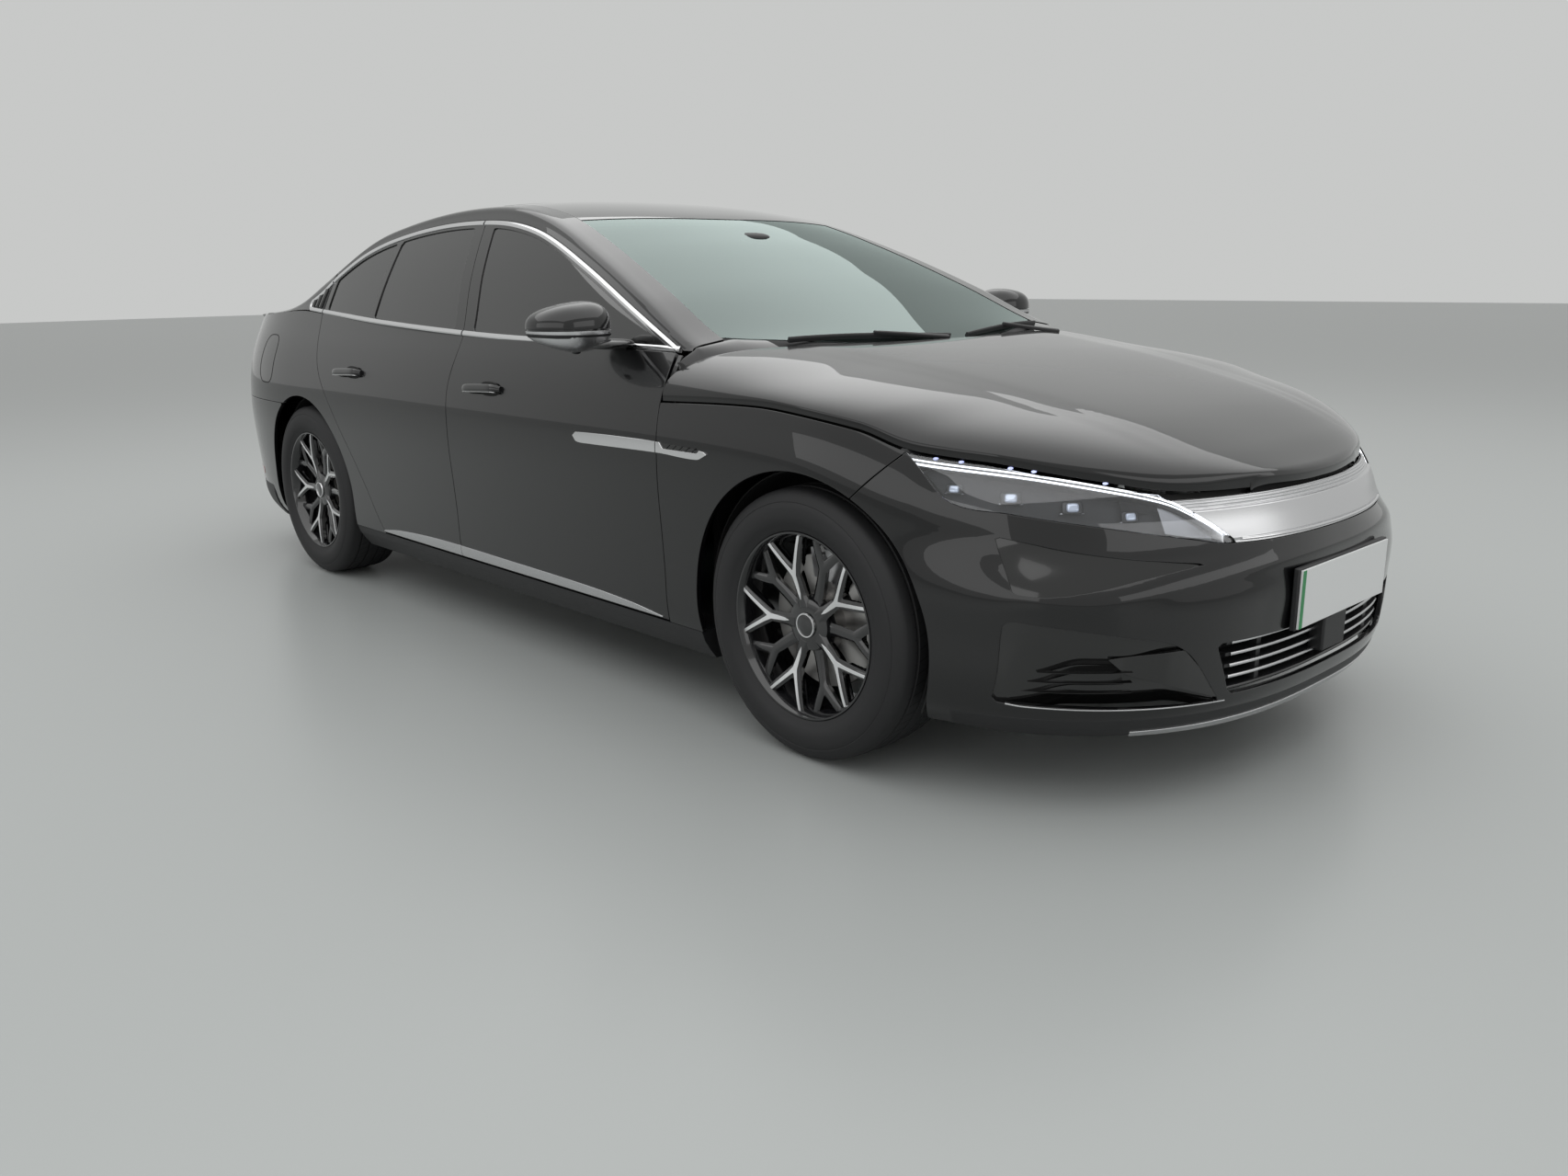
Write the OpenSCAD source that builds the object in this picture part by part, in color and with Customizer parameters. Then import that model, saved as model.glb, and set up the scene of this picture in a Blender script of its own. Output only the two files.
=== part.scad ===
// Large battery-electric saloon car, in millimetres.
// X points forward, Y to the car's left and Z up. The origin is on the ground under the middle of the body.
// Body panels are skins between two grids of points, laid on the surfaces that the section below defines.

/* [Body] */
// Distance between the axles
wheelbase = 2920; // [2860:10:2980]
// From the front axle to the nose
front_overhang = 950; // [930:5:980]
// From the rear axle to the tail
rear_overhang = 1125; // [1100:5:1160]
// Width over the body, without the mirrors
body_width = 1910; // [1880:5:1940]
// Height of the roof above the ground
body_height = 1475; // [1455:5:1500]
// Shut-line gap round doors, bonnet and boot lid
shut_gap = 6; // [5.5:0.5:7]
// Thickness of fixed body panels
panel_t = 14; // [10:1:18]
// Thickness of glass
glass_t = 5; // [4:0.5:6]
// Thickness of a door over its inner box
door_t = 105; // [90:5:115]
// Thickness of the door's outer flange
flange_t = 24; // [20:1:28]
// Width of the frame round a side window
frame_w = 34; // [28:1:40]
// Thickness of the floor
floor_t = 20; // [14:1:26]
// Height of the floor's underside above the ground
ground_clearance = 150; // [140:5:165]

/* [Wheels] */
// Distance between the wheel centre planes
track = 1640; // [1630:5:1650]
// Tyre outside diameter
tyre_d = 702; // [692:2:708]
// Tyre width
tyre_w = 245; // [235:5:250]
// Rim diameter at the bead seat
rim_d = 483; // [470:1:495]
// Brake disc diameter
disc_d = 350; // [320:5:360]
// Gap between the tyre and the edge of the wheel arch
arch_gap = 42; // [38:1:48]
// Radius of the hub's centre bore
hub_bore_r = 32; // [28:1:36]
// Number of bright spokes, with a dark one between each pair
spokes = 5; // [4:1:6]

/* [Cabin] */
// Width of one front seat
seat_w = 520; // [480:10:540]
// Steering wheel diameter
steering_wheel_d = 370; // [350:5:385]

/* [Hidden] */

paint = [0.03, 0.03, 0.035];
trim_black = [0.05, 0.05, 0.05];
chrome = [0.8, 0.81, 0.82];
dark_glass = [0.12, 0.13, 0.15, 0.6];

// Places along the car
length = wheelbase + front_overhang + rear_overhang;
axle_f = length / 2 - front_overhang;
axle_r = axle_f - wheelbase;
half_w = body_width / 2;
wheel_z = tyre_d / 2;
arch_r = tyre_d / 2 + arch_gap;
seam = 0.4;

// The body lines below were drawn for these sizes, and stretch with the real ones
drawn_axle_f = 1547;
drawn_axle_r = -1373;
drawn_height = 1468;
drawn_nose = 950;
drawn_tail = 1125;
drawn_half_w = 955;

// Drawn x for a real x, so that a line follows the axles and overhangs
function drawn_x(x) =
    x > axle_f ? drawn_axle_f + (x - axle_f) * drawn_nose / front_overhang
    : x < axle_r ? drawn_axle_r + (x - axle_r) * drawn_tail / rear_overhang
    : drawn_axle_r + (x - axle_r) * (drawn_axle_f - drawn_axle_r) / wheelbase;
// Real x for a drawn x
function real_x(x) =
    x > drawn_axle_f ? axle_f + (x - drawn_axle_f) * front_overhang / drawn_nose
    : x < drawn_axle_r ? axle_r + (x - drawn_axle_r) * rear_overhang / drawn_tail
    : axle_r + (x - drawn_axle_r) * wheelbase / (drawn_axle_f - drawn_axle_r);
// Drawn height for a real height, and back
function drawn_z(z) = z * drawn_height / body_height;
function real_z(z) = z * body_height / drawn_height;

// Smooth value at x of a line given as rows of [x, value]
function slope(rows, i) =
    let (a = max(i - 1, 0), b = min(i + 1, len(rows) - 1))
    (rows[b][1] - rows[a][1]) / (rows[b][0] - rows[a][0]);
function curve(rows, x) =
    let (n = len(rows))
    x <= rows[0][0] ? rows[0][1]
    : x >= rows[n - 1][0] ? rows[n - 1][1]
    : let (
        i = max([for (k = [0:n - 2]) if (rows[k][0] <= x) k]),
        h = rows[i + 1][0] - rows[i][0],
        t = (x - rows[i][0]) / h
    )
    (2 * t ^ 3 - 3 * t ^ 2 + 1) * rows[i][1] + (t ^ 3 - 2 * t ^ 2 + t) * h * slope(rows, i)
    + (3 * t ^ 2 - 2 * t ^ 3) * rows[i + 1][1] + (t ^ 3 - t ^ 2) * h * slope(rows, i + 1);
function mix(a, b, t) = a + (b - a) * t;
function ease(t) = let (c = min(max(t, 0), 1)) c * c * (3 - 2 * c);
function steps(a, b, n) = [for (i = [0:n]) mix(a, b, i / n)];

// Inset of the body side from its widest line, by height
side_profile = [[170, 78], [230, 36], [300, 20], [420, 15], [520, 9], [640, 1], [720, 0], [790, 3],
    [850, 14], [900, 31], [950, 54], [1000, 82], [1080, 128]];
// How far the shoulder has dropped at each x
shoulder_drop = [[900, 0], [1300, 6], [1547, 22], [1723, 50], [1873, 85], [2100, 125], [2300, 160], [2500, 175]];
// Line along the bonnet's lower edge, the shoulder of the front end
bonnet_edge = [[1016, 871], [1300, 881], [1470, 879], [1723, 850], [1846, 812], [1940, 798], [2032, 785],
    [2195, 747], [2299, 720], [2400, 711]];
// Height of the bonnet on the centre line
bonnet_crown = [[1000, 1018], [1230, 1000], [1547, 964], [1850, 912], [2100, 856], [2300, 790], [2410, 738]];
// Foremost x at each height
nose_line = [[170, 2430], [230, 2468], [300, 2478], [400, 2482], [480, 2484], [590, 2468], [650, 2446], [700, 2420],
    [726, 2404], [820, 2340], [900, 2280]];
// Rearmost x at each height
tail_line = [[170, -2400], [260, -2440], [380, -2476], [520, -2490], [640, -2482], [760, -2452], [860, -2430],
    [980, -2440], [1080, -2455], [1110, -2440]];
// Waist line where the side windows start
belt_line = [[-2400, 1090], [-2000, 1085], [-1560, 1078], [-1349, 1070], [-800, 1040], [-20, 1012],
    [600, 1003], [1060, 998]];
// Top edge of the side windows
window_top = [[-1580, 1078], [-1403, 1150], [-1300, 1216], [-1118, 1300], [-900, 1352], [-600, 1386], [-309, 1391],
    [-100, 1376], [128, 1330], [450, 1222], [755, 1100], [1000, 998]];
// Centre line of the roof, windscreen and rear window
roof_line = [[-2440, 1094], [-2300, 1090], [-2140, 1094], [-1980, 1132], [-1700, 1226], [-1400, 1330], [-1100, 1408],
    [-800, 1453], [-450, 1468], [-150, 1458], [150, 1408], [400, 1324], [700, 1204], [1000, 1080], [1240, 985]];
// Edge of the roof and screens, above the side windows
rail_line = [[-2440, 1090], [-2140, 1086], [-1800, 1083], [-1580, 1112], [-1403, 1190], [-1118, 1336], [-900, 1390], [-600, 1428],
    [-309, 1436], [-100, 1420], [128, 1372], [450, 1262], [755, 1138], [1040, 1010], [1240, 975]];

nose_round = 2.6;
function nose_power(z) = nose_round - 0.4 * ease((drawn_z(z) - 480) / 160);
tail_round = 3.4;

// Foremost and rearmost x of the real car at a height
function nose_x(z) = real_x(curve(nose_line, drawn_z(z)));
function tail_x(z) = real_x(curve(tail_line, drawn_z(z)));
// Height of the bonnet's edge and of the waist at x
function edge_z(x) = real_z(curve(bonnet_edge, drawn_x(x)));
function belt_z(x) = real_z(curve(belt_line, drawn_x(x)));
function window_top_z(x) = real_z(curve(window_top, drawn_x(x)));
function roof_z(x) = real_z(curve(roof_line, drawn_x(x)));
function rail_z(x) = real_z(curve(rail_line, drawn_x(x)));
function crown_z(x) = real_z(curve(bonnet_crown, drawn_x(x)));

// Half width at the widest line less the inset, before the ends round off
function straight_w(x, z) =
    let (d = curve(shoulder_drop, drawn_x(x)), lift = d * ease((drawn_z(z) - 540) / 220))
    half_w - curve(side_profile, drawn_z(z) + lift);
// Share of the width left where the nose or the tail rounds off
function plan_share(x, z) =
    x > axle_f ? (1 - min((x - axle_f) / (nose_x(z) - axle_f), 1) ^ nose_power(z)) ^ (1 / nose_power(z))
    : x < axle_r ? (1 - min((axle_r - x) / (axle_r - tail_x(z)), 1) ^ tail_round) ^ (1 / tail_round)
    : 1;
function side_y(x, z) = straight_w(x, z) * plan_share(x, z);
// Half width of the side windows, which lean in towards the roof
window_lean = 0.44;
window_bow = 0.00042;
cabin_taper = 58;
function window_y(x, z) =
    let (up = z - belt_z(x), far = (drawn_x(x) + 150) / 1500)
    half_w - real_z(88) - cabin_taper * far ^ 2 - window_lean * up - window_bow * up ^ 2;

// Points of the nose and tail at an angle round the corner, 0 at the side and 90 on the centre line
function nose_point(a, z) = [
    axle_f + (nose_x(z) - axle_f) * sin(a) ^ (2 / nose_power(z)),
    straight_w(axle_f + (nose_x(z) - axle_f) * sin(a) ^ (2 / nose_power(z)), z) * cos(a) ^ (2 / nose_power(z)), z];
function tail_point(a, z) = [
    axle_r - (axle_r - tail_x(z)) * sin(a) ^ (2 / tail_round),
    straight_w(axle_r, z) * cos(a) ^ (2 / tail_round), z];
// Height of the bonnet, and of the roof with its screens
function bonnet_z(x, y) =
    let (e = edge_z(x), w = max(side_y(x, e), 1), share = min(abs(y) / w, 1))
    e + (crown_z(x) - e) * sqrt(1 - share ^ 3);
function rail_y(x) = window_y(x, rail_z(x));
function top_z(x, y) =
    let (share = min(abs(y) / rail_y(x), 1))
    rail_z(x) + (roof_z(x) - rail_z(x)) * (1 - share ^ 2.4);

// A closed skin between an outer and an inner grid of points
module skin(outer, inner) {
    m = len(outer);
    n = len(outer[0]);
    i = floor((m - 1) / 2);
    j = floor((n - 1) / 2);
    turned = cross(outer[i][j + 1] - outer[i][j], outer[i + 1][j] - outer[i][j]) * (outer[i][j] - inner[i][j]) > 0;
    function id(i, j, side) = (side * m + i) * n + j;
    function quad(a, b, c, d) = turned ? [[c, b, a], [d, c, a]] : [[a, b, c], [a, c, d]];
    points = [for (grid = [outer, inner], row = grid, p = row) p];
    faces = [
        for (i = [0:m - 2], j = [0:n - 2]) each quad(id(i, j, 0), id(i, j + 1, 0), id(i + 1, j + 1, 0), id(i + 1, j, 0)),
        for (i = [0:m - 2], j = [0:n - 2]) each quad(id(i, j, 1), id(i + 1, j, 1), id(i + 1, j + 1, 1), id(i, j + 1, 1)),
        for (i = [0:m - 2]) each quad(id(i, 0, 0), id(i + 1, 0, 0), id(i + 1, 0, 1), id(i, 0, 1)),
        for (i = [0:m - 2]) each quad(id(i, n - 1, 0), id(i, n - 1, 1), id(i + 1, n - 1, 1), id(i + 1, n - 1, 0)),
        for (j = [0:n - 2]) each quad(id(0, j, 0), id(0, j, 1), id(0, j + 1, 1), id(0, j + 1, 0)),
        for (j = [0:n - 2]) each quad(id(m - 1, j, 0), id(m - 1, j + 1, 0), id(m - 1, j + 1, 1), id(m - 1, j, 1))];
    polyhedron(points, faces, convexity = 6);
}
function pushed(grid, push) = [for (row = grid) [for (p = row) p + push]];
// Both hands of a part that is drawn on the left
module on_side(left) {
    mirror([0, left ? 0 : 1, 0]) children();
}
// A solid across the car from an outline in the XZ plane
module across(y0, y1) {
    translate([0, y1, 0]) rotate([90, 0, 0]) linear_extrude(y1 - y0) children();
}
// A solid upwards from an outline in the XY plane
module upright(z0, z1) {
    translate([0, 0, z0]) linear_extrude(z1 - z0) children();
}

// Shut lines, as real x at a height
door_front_x = real_x(1019);
pillar_rows = [[260, -143], [540, -141], [815, -141], [1008, -141], [1200, -226], [1400, -318]];
rear_rows = [[262, -738], [440, -862], [621, -998], [859, -1192], [960, -1262], [1062, -1330]];
function pillar_x(z) = real_x(curve(pillar_rows, drawn_z(z)));
function rear_edge_x(z) = real_x(curve(rear_rows, drawn_z(z)));
sill_top = real_z(262);
sill_low = real_z(172);

// Lower part of a door: a flange all round and a thicker inner box
function door_outer(front, rear, columns, rows) = [
    for (s = columns) [
        for (r = rows)
            let (
                    z0 = mix(sill_top, belt_z(0), r),
                    z = mix(sill_top, belt_z(mix(front(z0), rear(z0), s)), r),
                    x = mix(front(z), rear(z), s)
                )
                [x, side_y(x, z), z]]];
module door_lower(front, rear) {
    columns = [0, 0.05, 0.065, 0.35, 0.65, 0.935, 0.95, 1];
    rows = [0, 0.06, 0.08, 0.22, 0.4, 0.58, 0.74, 0.86, 1];
    outer = door_outer(front, rear, columns, rows);
    inner = [
        for (i = [0:len(columns) - 1]) [
            for (j = [0:len(rows) - 1])
                let (
                    edge = i < 2 || i > len(columns) - 3 || j < 2,
                    p = outer[i][j]
                )
                [p[0], p[1] - (edge ? flange_t : door_t), p[2]]]];
    skin(outer, inner);
}

// Outline of the side windows in the XZ plane, from x0 to x1, moved in by a margin
module window_outline(x0, x1, margin) {
    n = 14;
    polygon([
        for (x = steps(x0, x1, n)) [x, belt_z(x) + margin],
        for (x = steps(x1, x0, n)) [x, window_top_z(x) - margin]]);
}

// Frame and pillars of the side, as a grid on the window surface
module window_skin(x0, x1, z_low, z_high, t, out, columns = 9) {
    outer = [
        for (x = steps(x0, x1, columns)) [
            for (r = [0, 0.5, 1])
                let (z = mix(z_low(x), z_high(x), r))
                [x, window_y(x, z) + out, z]]];
    skin(outer, pushed(outer, [0, -t, 0]));
}
// Slanted cut between the doors above the waist, from x0 forward
module pillar_cut(offset_x, forward) {
    far = forward ? 3000 : -3000;
    heights = [for (z = [940, 985, 1005, 1025, 1050, 1100, 1200, 1300, 1390, 1450]) real_z(z)];
    polygon(concat([for (z = heights) [pillar_x(z) + offset_x, z]],
        [[far, heights[len(heights) - 1]], [far, heights[0]]]));
}
window_front = real_x(985);
window_tip = real_x(862);
quarter_x = real_x(-1330);
frame_t = 30;

module window_frame(front) {
    x0 = front ? real_x(-330) : quarter_x + lean_relief;
    x1 = front ? window_front : real_x(-120);
    low = function(x) belt_z(x) - 8;
    high = function(x) window_top_z(x);
    difference() {
        intersection() {
            window_skin(x0, x1, low, high, frame_t, 0);
            across(300, 1200) pillar_cut(front ? shut_gap / 2 : -shut_gap / 2 - lean_relief, front);
        }
        across(300, 1200) window_hole(front, 0);
    }
}
// Opening for the glass of one door, or the glass when moved in by a margin
module window_hole(front, margin) {
    intersection() {
        polygon([
            for (x = steps(quarter_x + 6, window_tip - 3 * margin, 10)) [x, belt_z(x) + 6 + margin],
            for (x = steps(window_tip - 3 * margin, quarter_x + 6, 14)) [x, window_top_z(x) - frame_w - margin]]);
        pillar_cut(front ? 62 + margin : -56 - margin, front);
        translate([quarter_x + frame_w + margin, real_z(900)])
            square([window_tip - quarter_x, real_z(700)]);
    }
}
module door_glass(front) {
    intersection() {
        window_skin(quarter_x, window_front, function(x) belt_z(x), function(x) window_top_z(x), glass_t, -6);
        across(300, 1200) window_hole(front, seam);
    }
}

// Door hinges: a pin on the body inside a lug of the door, near the skin
hinge_back = 61;
hinge_y = half_w - 13;
hinge_levels = [real_z(628), real_z(745)];
hinge_h = 40;
pin_r = 3.5;
module hinge_pocket(x) {
    for (z = hinge_levels)
        translate([x - 22, half_w - 250, z - 6]) cube([hinge_back + 40, 250 - 7, hinge_h + 12]);
}
module hinge_lug(x) {
    for (z = hinge_levels) difference() {
        translate([x, hinge_y, z + 10]) cylinder(r = 8, h = hinge_h - 20, $fn = 32);
        translate([x, hinge_y, z]) cylinder(r = pin_r + seam, h = hinge_h, $fn = 32);
    }
}
module hinge_pin(x, post_y) {
    for (z = hinge_levels) translate([0, 0, z]) {
        translate([x, hinge_y, 0]) cylinder(r = pin_r, h = hinge_h, $fn = 32);
        for (h = [0, hinge_h - 5]) upright(h, h + 5)
            polygon([[x - 5, hinge_y - 1], [x - 3, hinge_y + 4], [x + 3, hinge_y + 4], [x + 5, hinge_y - 1],
                [x + 36, post_y - 2], [x - 5, post_y - 2]]);
    }
}
module front_door(left) {
    color(paint) on_side(left) {
        difference() {
            union() {
                door_lower(
                    function(z) door_front_x - shut_gap / 2,
                    function(z) pillar_x(z) + shut_gap / 2);
                window_frame(true);
            }
            hinge_pocket(door_front_x - hinge_back);
        }
        hinge_lug(door_front_x - hinge_back);
    }
}
rear_hinge_x = pillar_x(real_z(700)) - hinge_back;
// How far the rear door's front edge steps back beside the leaning part of the shut line, so that
// the front door's frame swings past it
lean_relief = 6;
module rear_door(left) {
    color(paint) on_side(left) {
        difference() {
            union() {
                door_lower(
                    function(z) pillar_x(z) - shut_gap / 2 - lean_relief * ease((drawn_z(z) - 780) / 100),
                    function(z) rear_edge_x(z) + shut_gap / 2 + 0.4 * lean_relief * ease((drawn_z(z) - 980) / 80));
                window_frame(false);
            }
            hinge_pocket(rear_hinge_x);
        }
        hinge_lug(rear_hinge_x);
    }
}

// Roof rail with the screen pillars, from the side windows over to the roof's seam
pillar_share = 0.87;
corner_x = real_x(-2270);
quarter_top_x = rear_edge_x(belt_z(quarter_x)) - shut_gap / 2;
quarter_columns = 14;
rail_end_x = mix(quarter_top_x, corner_x, 12 / quarter_columns);
rail_columns = concat(steps(rail_end_x, quarter_top_x, 12), [quarter_top_x + 0.5],
    [for (x = concat([-1240], steps(-1120, 1030, 17))) real_x(x)]);
module roof_rail() {
    function low(x) = x < quarter_top_x + 0.25 ? belt_z(x) + seam : window_top_z(x) + shut_gap;
    outer = [
        for (x = rail_columns)
            let (z0 = low(x), z1 = max(rail_z(x), z0 + 6))
            concat(
                [for (r = [0, 0.5, 1]) let (z = mix(z0, z1 - 3, r)) [x, window_y(x, z), z]],
                [for (s = [0.975, 0.93, pillar_share]) [x, s * rail_y(x), max(top_z(x, s * rail_y(x)), z1 - 1)]])];
    function push(t, drop) = [[0, -t, 0], [0, -0.8 * t, 0], [0, -0.45 * t, -min(3, drop / 2)],
        [0, -0.5 * t, -drop], [0, -0.3 * t, -drop], [0, 0, -drop]];
    skin(outer, [
        for (row = outer)
            let (by = push(row[0][0] < quarter_top_x + 0.25 ? 0.5 * frame_t : frame_t,
                min(frame_t, row[2][2] - row[0][2] + 1)))
            [for (j = [0:5]) row[j] + by[j]]]);
}

// Rear quarter, from the rear door over the wheel arch and round to the lamp and the boot lid
bumper_split_z = real_z(700);
lid_tail_half = real_z(565);
lamp_low = real_z(850);
lamp_high = real_z(900);
// Angles round the rear corner: 0 is the last of the side's columns, 2 the joint with the boot lid
function tail_angle(k, z) =
    mix(48.5, acos(((lid_tail_half + shut_gap) / straight_w(axle_r, z)) ^ (tail_round / 2)), k / 2);
corner_columns = [0.4, 1, 2];
module quarter_panel() {
    levels = steps(0, 1, 10);
    low = sill_top - shut_gap + seam;
    outer = concat([
        for (i = [0:quarter_columns]) [
            for (r = levels)
                let (x0 = rear_edge_x(mix(low, belt_z(quarter_x), r)) - shut_gap / 2,
                    x = mix(x0, corner_x, i / quarter_columns), z = mix(low, belt_z(x), r))
                [x, side_y(x, z), z]]], [
        for (k = corner_columns) [
            for (r = levels) let (z = mix(low, belt_z(axle_r - 700), r)) tail_point(tail_angle(k, z), z)]]);
    inner = [
        for (i = [0:len(outer) - 1]) [
            for (p = outer[i])
                let (a = [0, 48.5, 54, 90][max(i - quarter_columns, 0)])
                p + [panel_t * sin(a) ^ 0.7, -panel_t * cos(a) ^ 0.7, 0]]];
    difference() {
        skin(outer, inner);
        wheel_hole(axle_r);
        across(200, 1200) bumper_region(0);
        translate([corner_x - 280, 450, lamp_low]) cube([300, 450, lamp_high - lamp_low]);
    }
}
module bumper_region(gap) {
    polygon([[axle_r + gap, 0], [axle_r + gap, wheel_z], [axle_r - arch_r + 40 + gap, bumper_split_z],
        [-3000, bumper_split_z], [-3000, 0]]);
}
module wheel_hole(x) {
    translate([x, half_w + 100, wheel_z]) rotate([90, 0, 0]) cylinder(r = arch_r, h = half_w - 300, $fn = 96);
}
// Strip beside the boot lid, from the quarter's top edge inwards
lid_rows = [[-2450, 540], [-2350, 586], [-2250, 636], [-2130, 666], [-1860, 690]];
function lid_w(x) = curve(lid_rows, drawn_x(x)) * half_w / drawn_half_w;
module lid_strip() {
    edge = concat(
        [for (x = steps(rail_end_x - seam, corner_x, 4)) [x, side_y(x, belt_z(x))]],
        [for (k = [corner_columns[0], corner_columns[1]])
            let (z = belt_z(axle_r - 700), p = tail_point(tail_angle(k, z), z)) [p[0], p[1]]]);
    outer = [
        for (p = edge) [
            for (r = [0, 0.2, 0.5, 1])
                let (y = mix(p[1], min(lid_w(p[0]), p[1] - 3), r))
                [p[0], y, belt_z(p[0]) + seam + 2 * r]]];
    skin(outer, pushed(outer, [0, 0, -panel_t]));
}
// Pillar between the doors, behind both of them
module centre_pillar() {
    half = 50;
    levels = [floor_z + floor_t + seam, 620, 960, 1180, 1370];
    outer = [
        for (s = [-1, 1]) [
            for (z = levels)
                let (
                    x = pillar_x(real_z(z)) + s * half,
                    h = z > 1300 ? window_top_z(x) + shut_gap + 2 : real_z(z),
                    y = z > 940 ? window_y(x, max(h, belt_z(x))) - frame_t - 16 : half_w - door_t - 40
                )
                [x, y, h]]];
    skin(outer, pushed(outer, [0, -60, 0]));
}
post_y = half_w - door_t - 30;
module hinge_post() {
    x0 = door_front_x - hinge_back - 12;
    z0 = floor_z + floor_t + seam;
    translate([x0, post_y - 100, z0]) cube([bulkhead_x - seam - x0, 80, edge_z(door_front_x) + 60 - z0]);
}
module body_side(left) {
    color(paint) on_side(left) {
        roof_rail();
        quarter_panel();
        lid_strip();
        centre_pillar();
        hinge_post();
        hinge_pin(door_front_x - hinge_back, post_y - 20);
        hinge_pin(rear_hinge_x, half_w - door_t - 40);
        translate([bonnet_hinge_x, post_y - 90, bonnet_hinge_z]) rotate([90, 0, 0])
            cylinder(r = hinge_pin_r, h = post_y - 90 - bonnet_lug_y + 8, $fn = 32);
        translate([boot_hinge_x, half_w - 200, boot_hinge_z]) rotate([90, 0, 0])
            cylinder(r = hinge_pin_r, h = half_w - 200 - boot_neck_y + 8, $fn = 32);
    }
}

// Roof between the two rails
screen_top_x = real_x(225);
rear_screen_top_x = real_x(-1080);
screen_bow = 70;
module top_skin(x0, x1, bow0, bow1, t, columns, out) {
    outer = [
        for (s = steps(0, 1, columns)) [
            for (r = [-1, -0.8, -0.55, -0.28, 0, 0.28, 0.55, 0.8, 1])
                let (
                    x = mix(x0 - bow0 * r ^ 2, x1 - bow1 * r ^ 2, s),
                    y = r * pillar_share * rail_y(x) - sign(r) * 2.5 * seam
                )
                [x, y, top_z(x, y) + out]]];
    skin(outer, pushed(outer, [0, 0, -t]));
}
module roof_panel() {
    color(paint)
        top_skin(screen_top_x - seam, rear_screen_top_x + seam, screen_bow, -screen_bow, panel_t, 12, 0);
}
screen_base_x = real_x(1225);
screen_base_bow = 205;
module windscreen() {
    color(dark_glass)
        top_skin(screen_top_x + seam, screen_base_x, screen_bow, screen_base_bow, glass_t, 10, -2);
}
rear_screen_base_x = real_x(-1985);
rear_screen_bow = 90;
module rear_window() {
    color(dark_glass)
        top_skin(rear_screen_base_x, rear_screen_top_x - seam, -rear_screen_bow, -screen_bow, glass_t, 10, -2);
}

// Bonnet, from the screen base to the lamps, wrapped over the wings
bonnet_back_x = real_x(1250);
bonnet_corner_x = real_x(2374);
bonnet_rim = 14;
module bonnet_skin() {
    half_rows = [0, 0.2, 0.4, 0.58, 0.74, 0.86, 0.94, 0.985, 1, 1];
    back_edge = door_front_x + 12;
    front = nose_x(edge_z(nose_x(real_z(730)))) - 2;
    function grid(inner) = [
        for (i = [0:17]) [
            for (j = [-9:9])
                let (
                    u = min(i / 16, 1),
                    r = half_rows[abs(j)] * sign(j),
                    side_x = mix(back_edge, bonnet_corner_x, u),
                    x_back = mix(bonnet_back_x, back_edge, r ^ 2),
                    x_front = mix(front, bonnet_corner_x, abs(r) ^ 2.2),
                    x = mix(x_back, x_front, u),
                    e = edge_z(side_x),
                    e_here = mix(edge_z(x), e, abs(r)),
                    w = side_y(side_x, e + bonnet_rim),
                    rise = max(crown_z(x) - e_here - bonnet_rim, 6),
                    top = e_here + shut_gap / 2 + bonnet_rim + rise * sqrt(max(1 - abs(r) ^ 3, 0)),
                    rim = i == 17 || abs(j) == 9,
                    z = rim ? e_here + shut_gap / 2
                        : inner ? max(top - panel_t, e_here + shut_gap / 2 + 4 * (1 - abs(r) * u * 0.5)) : top
                )
                inner ? [x - (i > 15 ? 14 : 0), r * (w - 14), z] : [x, r * w, z]]];
    skin(grid(false), grid(true));
}
// Bonnet hinges: lugs on arms, turning on pins from the door posts
bonnet_hinge_x = door_front_x + 1;
bonnet_hinge_z = edge_z(door_front_x) + 40;
bonnet_lug_y = half_w - 255;
hinge_pin_r = 5;
module bonnet() {
    color(paint) {
        bonnet_skin();
        for (side = [-1, 1]) difference() {
            union() {
                across(side * bonnet_lug_y - 6, side * bonnet_lug_y + 6)
                    polygon([[bonnet_hinge_x - 2, bonnet_hinge_z + 10], [bonnet_hinge_x + 4, bonnet_hinge_z - 10],
                        [real_x(1215), real_z(950)], [real_x(1215), real_z(974)], [real_x(1150), real_z(968)]]);
                translate([bonnet_hinge_x, side * bonnet_lug_y, bonnet_hinge_z]) rotate([90, 0, 0])
                    cylinder(r = 12, h = 12, center = true, $fn = 32);
            }
            translate([bonnet_hinge_x, side * bonnet_lug_y, bonnet_hinge_z]) rotate([90, 0, 0])
                cylinder(r = hinge_pin_r + seam, h = 30, center = true, $fn = 32);
        }
    }
}

// Wing below the bonnet's edge, down to the sill and back to the door
module fender() {
    low = sill_top - shut_gap + seam;
    outer = [
        for (x = steps(door_front_x + shut_gap / 2, real_x(1846), 13)) [
            for (r = steps(0, 1, 7))
                let (z = mix(low, edge_z(x) - shut_gap / 2, r))
                [x, side_y(x, z), z]]];
    difference() {
        skin(outer, pushed(outer, [0, -panel_t, 0]));
        wheel_hole(axle_f);
        across(200, 1200)
            polygon([[axle_f, 0], [axle_f, wheel_z], wing_line(0), wing_line(1), [real_x(1846), 1200], [3000, 1200],
                [3000, 0]]);
    }
}
// Joint between wing and bumper, from the arch up to the lamp
function wing_line(t) = [real_x(mix(1732, 1846, t)), real_z(mix(699, 808, t))];
module fenders() {
    color(paint) for (left = [true, false]) on_side(left) fender();
}

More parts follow.
